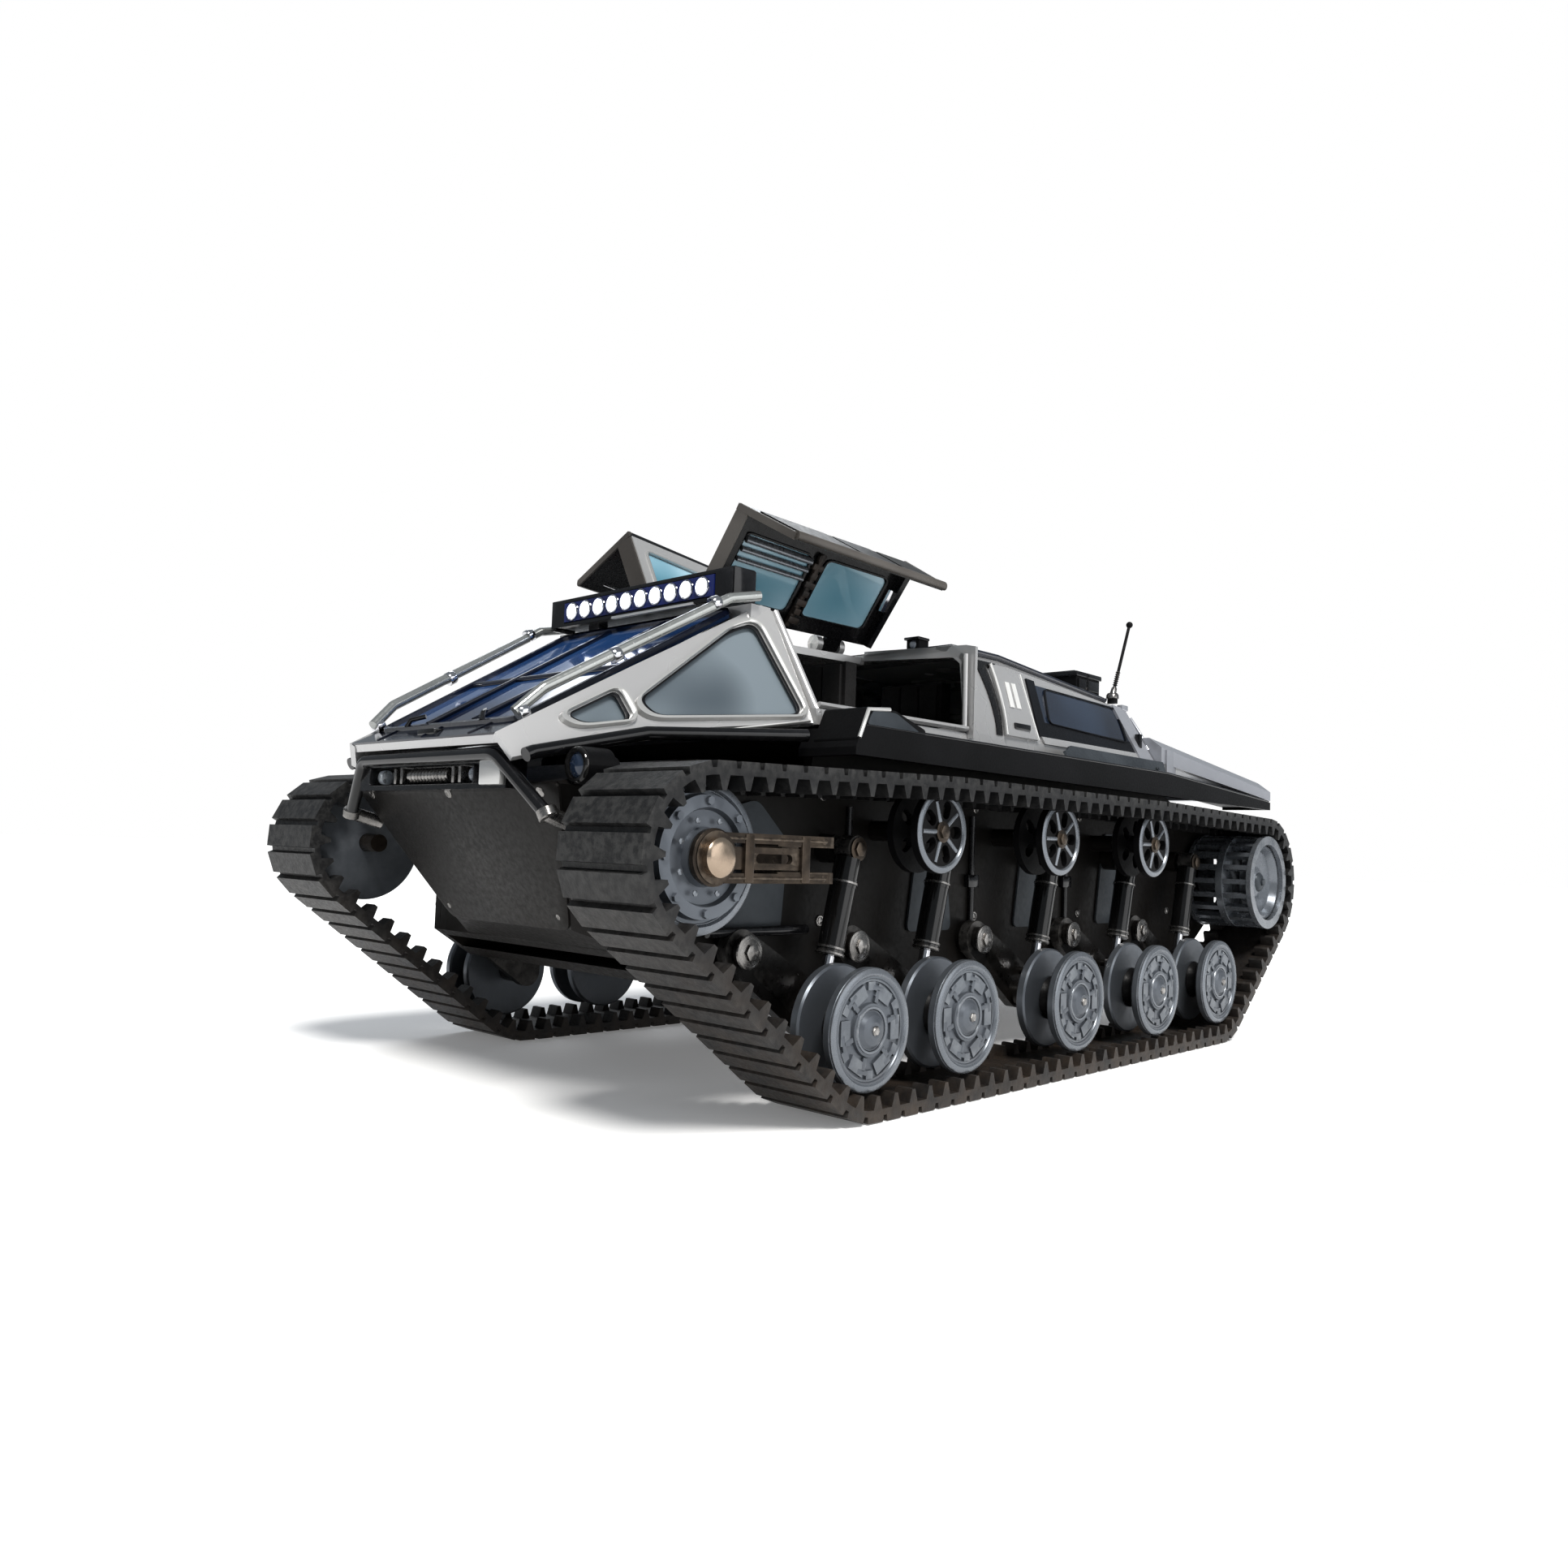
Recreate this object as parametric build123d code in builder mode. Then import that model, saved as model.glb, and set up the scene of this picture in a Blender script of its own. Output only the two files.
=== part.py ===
"""Small tracked vehicle chassis with its body, built as separate pieces.

Frame: +Z up, the nose points to -Y, the vehicle's left side is +X, and the origin is the
centre of the footprint on the ground. Millimetres.
"""

from build123d import *
from math import sqrt
import os

os.makedirs("parts", exist_ok=True)

# ---------------------------------------------------------------- driving dimensions
TRACK_INNER_X = 45.5  # inner edge of each track
TRACK_OUTER_X = 67.5  # outer edge of each track
TOOTH_ROW = 4.0  # width of each row of inner teeth
BELT = 1.2  # rubber band without lugs
LUG = 1.2  # tread lug height
TOOTH = 2.5  # inner tooth height
PITCH = 5.49  # lug and tooth spacing
GAP = 0.3  # space kept between pieces that move past each other
FIT = 0.1  # radial clearance of a wheel on its axle

IDLER = (-119.1, 48.7)  # axle centres as (y, z)
SPROCKET = (115.4, 45.6)
ROLLERS = ((-51.0, 55.2), (-3.0, 55.2), (45.5, 55.2))
WHEEL_Z = 17.0
WHEELS_Y = (-76.1, -44.0, 2.2, 43.6, 82.1)

WHEEL_R = 11.75
ROLLER_R = 8.7
IDLER_R = 13.1
CAGE_R = 14.2  # sprocket cage, inside the tooth tips
BAND_R = 13.5  # belt's inner face round the idler
SPROCKET_BAND_R = 17.2  # belt's inner face round the sprocket

HULL_X = 44.8  # outer face of the hull sides
WALL = 2.3
SEAM = 0.12  # joint line between bolted panels
ARM_X = (46.3, 48.7)
SHOCK_X = 52.0
PIVOT_OFFSET = (-18.0, 14.0)  # arm pivot from the wheel centre, (y, z)
LOWER_EYE = (1.5, 5.5)  # shock's lower eye from the wheel centre
UPPER_EYE = (8.7, 34.0)  # shock's upper eye from the wheel centre
PIVOT_R = 1.5
AXLE_R = 1.5
ROLLER_AXLE_R = 1.0
IDLER_AXLE_R = 2.0
SHAFT_R = 2.0

SKIN = 1.6  # body panel thickness
GLASS = 0.9
BODY_FLOOR = 76.2  # the body stands on the hull here
DOOR_OPEN = 62.0  # degrees from closed to open
HINGE = Axis((5.0, -74.0, 103.2), (7.0, 57.0, -0.9))
HINGE_PIN_R = 0.7
KNUCKLES = ((12.0, 17.0), (42.0, 47.0))  # the door's barrels, as distances along the hinge line
HINGE_EARS = [  # bars on the body that carry each barrel: an ear at both ends and the pin
    ear
    for a, b in KNUCKLES
    for ear in ((a - 2.0, a - GAP, 2.1), (b + GAP, b + 2.0, 2.1), (a - 2.0, b + 2.0, HINGE_PIN_R))
]


# ---------------------------------------------------------------- shared operations
def side_plane(x, y=0.0, z=0.0):
    """Faces +X at x, with local x along Y and local y along Z."""
    return Plane(origin=(x, y, z), x_dir=(0, 1, 0), z_dir=(1, 0, 0))


def post(x0, x1, centre, radius, mode=Mode.ADD):
    """Round bar along X between x0 and x1."""
    with BuildSketch(side_plane(x0, *centre)) as section:
        Circle(radius)
    extrude(section.sketch, amount=x1 - x0, mode=mode)


def turn(centre, stations, mode=Mode.ADD):
    """Turned shape about the X axis through centre, from (x, radius) stations."""
    with BuildSketch(Plane(origin=(0, *centre), x_dir=(1, 0, 0), z_dir=(0, -1, 0))) as section:
        with BuildLine():
            Polyline((stations[0][0], 0), *stations, (stations[-1][0], 0), close=True)
        make_face()
    revolve(section.sketch, axis=Axis((0, *centre), (1, 0, 0)), mode=mode)


def block(low, high, mode=Mode.ADD):
    """Box between two corners."""
    size = [b - a for a, b in zip(low, high)]
    middle = tuple((a + b) / 2 for a, b in zip(low, high))
    with Locations(middle):
        Box(*size, mode=mode)


def plane_through(corners):
    """Plane on the first three corners, its normal by the right-hand rule."""
    a, b, c = (Vector(*p) for p in corners[:3])
    return Plane(origin=a, x_dir=b - a, z_dir=(b - a).cross(c - a))


def on_plane(plane, corners):
    """The corners in the plane's own flat coordinates."""
    local = [plane.to_local_coords(Vector(*p)) for p in corners]
    return [(p.X, p.Y) for p in local]


def plate(plane, corners, thickness, rounding=0.0, mode=Mode.ADD):
    """Flat panel with the given corners, grown along the plane's normal."""
    points = on_plane(plane, corners)
    with BuildSketch(plane) as outline:
        with BuildLine():
            if rounding:
                FilletPolyline(*points, radius=rounding, close=True)
            else:
                Polyline(*points, close=True)
        make_face()
    extrude(outline.sketch, amount=thickness, mode=mode)


def along_hinge(start, stop, radius, mode=Mode.ADD):
    """Round bar on the left door's hinge line, between two distances from its front end."""
    middle = HINGE.position + HINGE.direction * start
    with BuildSketch(Plane(origin=middle, z_dir=HINGE.direction)) as section:
        Circle(radius)
    extrude(section.sketch, amount=stop - start, mode=mode)


def tube(points, radius, bend):
    """Round tube along straight runs joined by tangent arcs."""
    with BuildLine() as route:
        FilletPolyline(*points, radius=bend)
    with BuildSketch(Plane(origin=route.line @ 0, z_dir=route.line % 0)) as section:
        Circle(radius)
    sweep(section.sketch, path=route.line)


def other_side():
    """Adds the mirror image on the vehicle's right side."""
    mirror(about=Plane.YZ)


def save(part, name):
    part.label = name
    export_step(part, f"parts/{name}.step")


def save_both(part, name, number=""):
    """Writes the left piece and its mirror image."""
    save(part, f"{name}_left{number}")
    save(mirror(part, about=Plane.YZ), f"{name}_right{number}")


# ---------------------------------------------------------------- tracks
def track_route():
    """The belt's inner face as one closed line round all its supports, clockwise in (y, z)."""
    belt = BELT + LUG
    wheel_reach = WHEEL_Z - belt
    supports = [
        (IDLER, BAND_R),
        (ROLLERS[0], ROLLER_R + GAP),
        (ROLLERS[-1], ROLLER_R + GAP),
        (SPROCKET, SPROCKET_BAND_R),
        ((WHEELS_Y[-1], WHEEL_Z), wheel_reach),
        ((WHEELS_Y[0], WHEEL_Z), wheel_reach),
    ]
    normals = []
    for (a, ra), (b, rb) in zip(supports, supports[1:] + supports[:1]):
        run = Vector(b[0] - a[0], b[1] - a[1])
        along = run.normalized()
        across = Vector(-along.Y, along.X)
        share = (ra - rb) / run.length
        normals.append(along * share + across * sqrt(1 - share**2))
    with BuildLine() as route:
        for k, (centre, radius) in enumerate(supports):
            middle = Vector(*centre)
            arrive, leave = normals[k - 1], normals[k]
            start, end = middle + arrive * radius, middle + leave * radius
            crown = middle + (arrive + leave).normalized() * radius
            ThreePointArc(start, crown, end)
            following, reach = supports[(k + 1) % len(supports)]
            Line(end, Vector(*following) + leave * reach)
    return route.wire()


def belt_outline(route, shape):
    """Points along the route: shape lists (share of a pitch, height above the inner face)."""
    count = round(route.length / PITCH)
    points = []
    for k in range(count):
        for share, height in shape:
            where = (k + share) / count
            heading = route % where
            points.append(route @ where + Vector(-heading.Y, heading.X) * height)
    return points


route = track_route()
lugs = belt_outline(route, ((0.0, BELT), (0.04, BELT + LUG), (0.80, BELT + LUG), (0.84, BELT)))
teeth = belt_outline(route, ((0.1, 0), (0.24, -TOOTH), (0.42, -TOOTH), (0.56, 0), (0.83, 0)))
smooth = belt_outline(route, ((0.1, 0), (0.56, 0), (0.83, 0)))

with BuildPart() as track:
    middle_width = TRACK_OUTER_X - TRACK_INNER_X - 2 * TOOTH_ROW
    for start, width, inside in (
        (TRACK_INNER_X, TOOTH_ROW, teeth),
        (TRACK_INNER_X + TOOTH_ROW, middle_width, smooth),
        (TRACK_OUTER_X - TOOTH_ROW, TOOTH_ROW, teeth),
    ):
        with BuildSketch(side_plane(start)):
            with BuildLine():
                Polyline(*lugs, close=True)
            make_face()
            with BuildLine():
                Polyline(*inside, close=True)
            make_face(mode=Mode.SUBTRACT)
        extrude(amount=width)
save_both(track.part, "track")


# ---------------------------------------------------------------- road wheels, arms, shocks
def road_wheel(centre):
    """Twin-disc road wheel with a rimmed face, six pads and a domed hub, bored for its axle."""
    rim, face = 66.0, 65.4
    turn(
        centre,
        (
            (55.6, WHEEL_R - 0.4),
            (56.0, WHEEL_R),
            (57.5, WHEEL_R),
            (57.9, WHEEL_R - 0.4),
            (57.9, 3.4),
            (63.8, 3.4),
            (63.8, WHEEL_R - 0.4),
            (64.2, WHEEL_R),
            (rim - 0.5, WHEEL_R),
            (rim, WHEEL_R - 0.5),
            (rim, WHEEL_R - 2.0),
            (face, WHEEL_R - 2.4),
            (face, 5.2),
            (rim, 5.0),
            (rim, 3.6),
            (66.6, 2.9),
            (67.0, 1.6),
        ),
    )
    with BuildSketch(side_plane(face, *centre)) as pads:
        with PolarLocations(7.3, 6):
            Rectangle(2.6, 4.6)
        with PolarLocations(8.3, 6, start_angle=30):
            Rectangle(1.6, 2.0)
    extrude(pads.sketch, amount=rim - face - 0.15)
    post(55.0, 66.2, centre, AXLE_R + FIT, Mode.SUBTRACT)


def swing_arm(wheel):
    """Trailing arm: plate from pivot to axle, the wheel's axle and the shock's lower pin."""
    pivot = (wheel[0] + PIVOT_OFFSET[0], wheel[1] + PIVOT_OFFSET[1])
    eye = (wheel[0] + LOWER_EYE[0], wheel[1] + LOWER_EYE[1])
    with BuildSketch(side_plane(ARM_X[0])) as outline:
        with Locations(pivot):
            Circle(4.2)
        with Locations(wheel):
            Circle(3.4)
        with Locations(eye):
            Circle(2.2)
        make_hull()
    extrude(outline.sketch, amount=ARM_X[1] - ARM_X[0])
    post(ARM_X[1], ARM_X[1] + 6.4, wheel, 2.8)
    post(ARM_X[1], 66.1, wheel, AXLE_R)
    post(ARM_X[1], 54.2, eye, 0.9)
    post(ARM_X[0] - 1, ARM_X[1] + 1, pivot, PIVOT_R + FIT, Mode.SUBTRACT)


def shock_line(wheel):
    """Lower eye, upper eye and unit direction of the shock above a wheel, as vectors."""
    low = Vector(SHOCK_X, wheel[0] + LOWER_EYE[0], wheel[1] + LOWER_EYE[1])
    high = Vector(SHOCK_X, wheel[0] + UPPER_EYE[0], wheel[1] + UPPER_EYE[1])
    return low, high, (high - low).normalized()


def shock_rod(wheel):
    """Chrome piston rod with its lower eye."""
    low, high, up = shock_line(wheel)
    with BuildSketch(Plane(origin=low + up * 1.6, z_dir=up)) as section:
        Circle(1.2)
    extrude(section.sketch, amount=16.0)
    post(SHOCK_X - 1.3, SHOCK_X + 1.3, (low.Y, low.Z), 2.4)
    post(SHOCK_X - 2, SHOCK_X + 2, (low.Y, low.Z), 1.35, Mode.SUBTRACT)


def shock_cylinder(wheel):
    """Damper body above the rod, with a collar at its mouth and an eye on the hull's post."""
    low, high, up = shock_line(wheel)
    length = (high - low).length
    for start, stop, radius in ((7.4, length - 2.0, 2.7), (7.4, 9.4, 2.8), (length - 8.0, length - 6.4, 2.8)):
        with BuildSketch(Plane(origin=low + up * start, z_dir=up)) as section:
            Circle(radius)
        extrude(section.sketch, amount=stop - start)
    with BuildSketch(Plane(origin=low + up * 7.0, z_dir=up)) as bore:
        Circle(1.4)
    extrude(bore.sketch, amount=length - 14.0, mode=Mode.SUBTRACT)
    post(SHOCK_X - 2.0, SHOCK_X + 2.0, (high.Y, high.Z), 2.8)
    post(SHOCK_X - 3, SHOCK_X + 3, (high.Y, high.Z), 1.25, Mode.SUBTRACT)


for number, wheel_y in enumerate(WHEELS_Y, start=1):
    wheel = (wheel_y, WHEEL_Z)
    with BuildPart() as wheel_part:
        road_wheel(wheel)
    save_both(wheel_part.part, "road_wheel", f"_{number}")
    with BuildPart() as arm_part:
        swing_arm(wheel)
    save_both(arm_part.part, "swing_arm", f"_{number}")
    with BuildPart() as rod_part:
        shock_rod(wheel)
    save_both(rod_part.part, "shock_rod", f"_{number}")

with BuildPart() as shock_cylinders:
    for wheel_y in WHEELS_Y:
        shock_cylinder((wheel_y, WHEEL_Z))
    other_side()
save(shock_cylinders.part, "shock_cylinders")

# ---------------------------------------------------------------- return rollers, idlers, sprockets
for number, centre in enumerate(ROLLERS, start=1):
    with BuildPart() as return_roller:
        turn(centre, ((55.3, ROLLER_R), (56.9, ROLLER_R), (56.9, 2.4), (61.4, 2.4), (61.4, ROLLER_R), (63.0, ROLLER_R)))
        post(55.0, 63.5, centre, ROLLER_AXLE_R + FIT, Mode.SUBTRACT)
        with BuildSketch(side_plane(55.0, *centre)):
            with PolarLocations(4.8, 5):
                SlotOverall(3.9, 2.6)
        extrude(amount=9.0, mode=Mode.SUBTRACT)
    save_both(return_roller.part, "return_roller", f"_{number}")

with BuildPart() as front_idler:
    turn(
        IDLER,
        (
            (50.2, IDLER_R - 0.3),
            (50.5, IDLER_R),
            (52.4, IDLER_R),
            (52.4, 10.4),
            (60.6, 10.4),
            (60.6, IDLER_R),
            (62.8, IDLER_R),
            (63.1, 10.5),
            (65.0, 10.3),
            (65.2, 8.2),
            (64.2, 7.8),
            (64.2, 5.0),
            (65.4, 4.6),
        ),
    )
    with BuildSketch(side_plane(65.0, *IDLER)):
        with PolarLocations(9.3, 8):
            RegularPolygon(0.75, 6)
    extrude(amount=0.7)
    post(50.0, 66.0, IDLER, IDLER_AXLE_R + FIT, Mode.SUBTRACT)
save_both(front_idler.part, "front_idler")

with BuildPart() as drive_sprocket:
    post(46.3, 47.5, SPROCKET, CAGE_R)
    post(46.0, 48.0, SPROCKET, CAGE_R - 2.6, Mode.SUBTRACT)
    post(65.4, 66.8, SPROCKET, CAGE_R)
    post(65.0, 67.0, SPROCKET, CAGE_R - 2.6, Mode.SUBTRACT)
    turn(SPROCKET, ((46.3, 4.6), (55.5, 4.6), (56.0, CAGE_R), (58.0, CAGE_R), (59.5, 10.8), (61.5, 5.2), (63.0, 4.6), (63.8, 3.2)))
    with BuildSketch(side_plane(47.0, *SPROCKET)):
        with PolarLocations(CAGE_R - 1.0, 20):
            Rectangle(1.7, 1.5)
    extrude(amount=19.0)
    post(38.0, 47.0, SPROCKET, SHAFT_R)
save_both(drive_sprocket.part, "drive_sprocket")

with BuildPart() as track_tensioners:
    post(HULL_X, 67.0, IDLER, IDLER_AXLE_R)
    post(65.8, TRACK_OUTER_X, IDLER, 4.4)
    block((65.9, IDLER[0], IDLER[1] - 1.9), (66.9, -96.0, IDLER[1] + 1.9))
    for z in (IDLER[1] - 4.2, IDLER[1] + 2.5):
        block((66.05, IDLER[0] + 2.0, z), (67.3, -91.0, z + 1.7))
    for z in (IDLER[1] - 4.2, IDLER[1] + 2.2):
        block((57.0, -104.5, z), (67.2, -90.0, z + 2.0))
    block((HULL_X, -96.0, IDLER[1] - 4.2), (60.0, -90.0, IDLER[1] + 4.2))
    with BuildSketch(side_plane(65.0, -105.0, IDLER[1])):
        SlotOverall(9.0, 1.6)
    extrude(amount=4.0, mode=Mode.SUBTRACT)
    other_side()
save(track_tensioners.part, "track_tensioners")

# ---------------------------------------------------------------- lower hull
GLACIS = ((-37.0, -128.6, 61.0), (37.0, -128.6, 61.0), (21.0, -113.0, 33.5), (-21.0, -113.0, 33.5))
NOSE_Y = -104.0
LAMP = (38.2, 64.0)  # headlight centre as (x, z)

with BuildPart() as lower_hull:
    profile = (
        (NOSE_Y, 66.6),
        (-72.0, 66.6),
        (-71.0, 76.0),
        (72.0, 76.0),
        (98.0, 68.0),
        (126.0, 62.0),
        (127.0, 36.0),
        (106.0, 22.5),
        (-94.0, 22.5),
        (NOSE_Y, 29.0),
    )
    with BuildSketch(side_plane(-HULL_X)):
        with BuildLine():
            Polyline(*profile, close=True)
        make_face()
    extrude(amount=2 * HULL_X)
    front = plane_through(GLACIS)
    with BuildSketch(front):
        with BuildLine():
            Polyline(*on_plane(front, GLACIS), close=True)
        make_face()
    with BuildSketch(Plane(origin=(0, NOSE_Y, 0), x_dir=(1, 0, 0), z_dir=(0, -1, 0))):
        with BuildLine():
            Polyline((-40, 66.6), (40, 66.6), (30, 29.2), (-30, 29.2), close=True)
        make_face()
    loft(ruled=True)
    inside = HULL_X - WALL
    cavity = (
        (NOSE_Y + WALL, 22.5 + WALL),
        (105.0, 22.5 + WALL),
        (123.0, 36.8),
        (123.0, 60.0),
        (97.6, 65.4),
        (71.6, 73.2),
        (66.0, 73.2),
        (66.0, 80.0),
        (NOSE_Y + WALL, 80.0),
    )
    with BuildSketch(side_plane(-inside)) as hollow:
        with BuildLine():
            Polyline(*cavity, close=True)
        make_face()
    extrude(hollow.sketch, amount=2 * inside, mode=Mode.SUBTRACT)
    for sign in (1, -1):
        for wheel_y in WHEELS_Y:
            pivot = (wheel_y + PIVOT_OFFSET[0], WHEEL_Z + PIVOT_OFFSET[1])
            eye = (wheel_y + UPPER_EYE[0], WHEEL_Z + UPPER_EYE[1])
            post(sign * HULL_X, sign * (ARM_X[0] - GAP), pivot, 3.6)
            post(sign * HULL_X, sign * 51.0, pivot, PIVOT_R)
            post(sign * (ARM_X[1] + GAP), sign * 51.0, pivot, 2.8)
            post(sign * HULL_X, sign * 54.4, eye, 1.2)
            post(sign * HULL_X, sign * 48.8, eye, 3.0)
        for centre in ROLLERS:
            post(sign * HULL_X, sign * 54.8, centre, 2.2)
            post(sign * HULL_X, sign * 63.2, centre, ROLLER_AXLE_R)
        post(sign * 40.0, sign * 46.0, SPROCKET, SHAFT_R + FIT, Mode.SUBTRACT)
        with BuildSketch(Plane(origin=(sign * LAMP[0], -118.0, LAMP[1]), x_dir=(1, 0, 0), z_dir=(0, -1, 0))) as notch:
            Circle(3.7)
        extrude(notch.sketch, amount=14.0, mode=Mode.SUBTRACT)
    for sign in (1, -1):
        seam = sorted((sign * inside, sign * (inside - SEAM)))
        block((seam[0], -112.0, 20.0), (seam[1], 130.0, 80.0), Mode.SUBTRACT)
    block((-inside, NOSE_Y + WALL - SEAM, 20.0), (inside, NOSE_Y + WALL, 80.0), Mode.SUBTRACT)
    block((-inside, 64.0, 60.0), (inside, 130.0, 60.0 + SEAM), Mode.SUBTRACT)
    for sign in (1, -1):
        for y in (-62.0, 0.0):
            block((min(sign * 40.0, sign * 43.0), y, 71.4), (max(sign * 40.0, sign * 43.0), y + 8.0, 74.3))
save(lower_hull.part, "lower_hull")

# ---------------------------------------------------------------- upper body
PANEL = ((30.0, -134.2, 64.8), (46.2, -71.5, 77.0), (33.0, -76.0, 102.0))
PANEL_EDGE = (
    (27.2, -136.0, 69.3),
    (30.0, -134.0, 65.0),
    (36.4, -108.0, 72.4),
    (46.0, -72.5, 76.6),
    (46.0, -71.5, 77.8),
    (34.4, -73.8, 100.6),
    (33.0, -76.4, 102.0),
    (29.9, -107.8, 84.9),
)
REAR_QUARTER_WINDOW = ((32.4, -108.6, 77.6), (35.0, -106.4, 74.8), (44.8, -74.6, 78.0), (34.0, -79.2, 97.6), (33.0, -85.0, 95.4))
FRONT_QUARTER_WINDOW = ((29.8, -123.4, 73.6), (31.4, -120.4, 72.0), (33.8, -110.6, 73.6), (31.0, -112.4, 79.6))
WINDSHIELD = ((-25.0, -130.0, 72.0), (25.0, -130.0, 72.0), (29.2, -81.0, 100.2), (-29.2, -81.0, 100.2))
CABIN_FRONT, CABIN_RIDGE, CABIN_REAR = -19.0, 4.0, 76.0
BODY_SEAMS = (  # joint lines as (y, lowest z, highest z): spine to header, sill to panel, cabin to both
    (-74.08, 98.0, 101.2),
    (-71.3, BODY_FLOOR - 1.0, 84.0),
    (CABIN_FRONT - 0.05, BODY_FLOOR - 1.0, 110.0),
)
FRONT_EDGE = ((45.6, 98.2), (41.6, 101.4))  # shoulder and roof edge as (x, z)
RIDGE_EDGE = ((42.8, 98.8), (35.0, 103.8))
REAR_EDGE = ((37.0, 96.6), (30.0, 99.6))
SIDE_WINDOW = ((45.2, 20.0, 85.8), (44.4, 64.0, 84.8), (38.6, 68.0, 95.2), (42.2, 22.0, 95.2))


def cabin_section(y, shoulder, roof, inset=0.0):
    """Eight-cornered cross-section of the rear cabin at y, from its (x, z) shoulder and roof edge."""
    right = (
        (47.0 - inset, BODY_FLOOR - inset),
        (47.0 - inset, 80.0),
        (shoulder[0] - inset, shoulder[1] - inset),
        (roof[0] - inset, roof[1] - inset),
    )
    left = [(-x, z) for x, z in reversed(right)]
    with BuildSketch(Plane(origin=(0, y, 0), x_dir=(1, 0, 0), z_dir=(0, -1, 0))) as section:
        with BuildLine():
            Polyline(*right, *left, close=True)
        make_face()
    return section.sketch


def inset_corners(corners, share):
    """The corners drawn towards their middle by the given share."""
    middle = sum((Vector(*p) for p in corners), Vector()) / len(corners)
    return [tuple(Vector(*p) + (middle - Vector(*p)) * share) for p in corners]


panel_plane = plane_through(PANEL)
shield_plane = plane_through(WINDSHIELD)
side_window_plane = plane_through(SIDE_WINDOW)

with BuildPart() as upper_body:
    front = cabin_section(CABIN_FRONT, *FRONT_EDGE)
    ridge = cabin_section(CABIN_RIDGE, *RIDGE_EDGE)
    rear = cabin_section(CABIN_REAR, *REAR_EDGE)
    loft([front, ridge], ruled=True)
    loft([ridge, rear], ruled=True)
    front_hollow = cabin_section(CABIN_FRONT - 1.0, *FRONT_EDGE, SKIN)
    ridge_hollow = cabin_section(CABIN_RIDGE, *RIDGE_EDGE, SKIN)
    rear_hollow = cabin_section(CABIN_REAR - SKIN, *REAR_EDGE, SKIN)
    loft([front_hollow, ridge_hollow], ruled=True, mode=Mode.SUBTRACT)
    loft([ridge_hollow, rear_hollow], ruled=True, mode=Mode.SUBTRACT)
    plate(side_window_plane, SIDE_WINDOW, 4.0, 1.5, Mode.SUBTRACT)
    plate(side_window_plane, SIDE_WINDOW, -4.0, 1.5, Mode.SUBTRACT)
    plate(panel_plane, PANEL_EDGE, -SKIN)
    plate(panel_plane, REAR_QUARTER_WINDOW, -2 * SKIN, 2.0, Mode.SUBTRACT)
    plate(panel_plane, FRONT_QUARTER_WINDOW, -2 * SKIN, 1.2, Mode.SUBTRACT)
    with BuildSketch(Plane(origin=(0, -73.0, 0), x_dir=(1, 0, 0), z_dir=(0, -1, 0))):
        with BuildLine():
            Polyline((36.5, BODY_FLOOR), (47.0, BODY_FLOOR), (46.4, 79.6), (36.5, 79.6), close=True)
        make_face()
    extrude(amount=-(CABIN_FRONT + 73.0 + 0.5))
    split(bisect_by=Plane.YZ, keep=Keep.TOP)
    block((0, -80.0, 98.4), (33.6, -74.2, 101.6))
    with BuildSketch(Plane.XY.offset(99.0)):
        with BuildLine():
            Polyline((0, -75.0), (6.2, -75.0), (13.2, CABIN_FRONT + 1), (0, CABIN_FRONT + 1), close=True)
        make_face()
    extrude(amount=1.8)
    for start, stop, radius in HINGE_EARS:
        along_hinge(start, stop, radius)
        if radius > HINGE_PIN_R:
            ear = HINGE.position + HINGE.direction * start
            block((ear.X - 0.9, ear.Y, 99.6), (ear.X + 0.9, ear.Y + stop - start, ear.Z))
    plate(plane_through(((-27.0, -135.5, 69.0), (27.0, -135.5, 69.0), (27.5, -130.4, 71.6))),
          ((0, -135.5, 69.0), (27.0, -135.5, 69.0), (27.8, -130.4, 71.6), (0, -130.4, 71.6)), -SKIN)
    for y, low, high in BODY_SEAMS:
        block((0, y - SEAM, low), (60.0, y, high), Mode.SUBTRACT)
    other_side()
save(upper_body.part, "upper_body")

# ---------------------------------------------------------------- doors
ROOF_PANEL = ((7.9, -72.8, 103.4), (32.0, -72.8, 102.2), (36.2, -19.8, 100.7), (14.4, -19.8, 102.4))
SIDE_PANEL = ((32.0, -72.8, 102.2), (32.1, -71.6, 81.0), (35.6, -23.6, 81.0), (36.2, -19.8, 100.7))
DOOR_WINDOWS = (
    ((13.0, -69.0, 103.0), (28.4, -69.0, 102.4), (29.6, -49.0, 102.0), (15.0, -49.0, 102.6)),
    ((15.6, -44.0, 102.6), (30.2, -44.0, 101.8), (32.0, -24.0, 101.2), (18.0, -24.0, 102.0)),
)
FLANGE = 4.6

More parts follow.
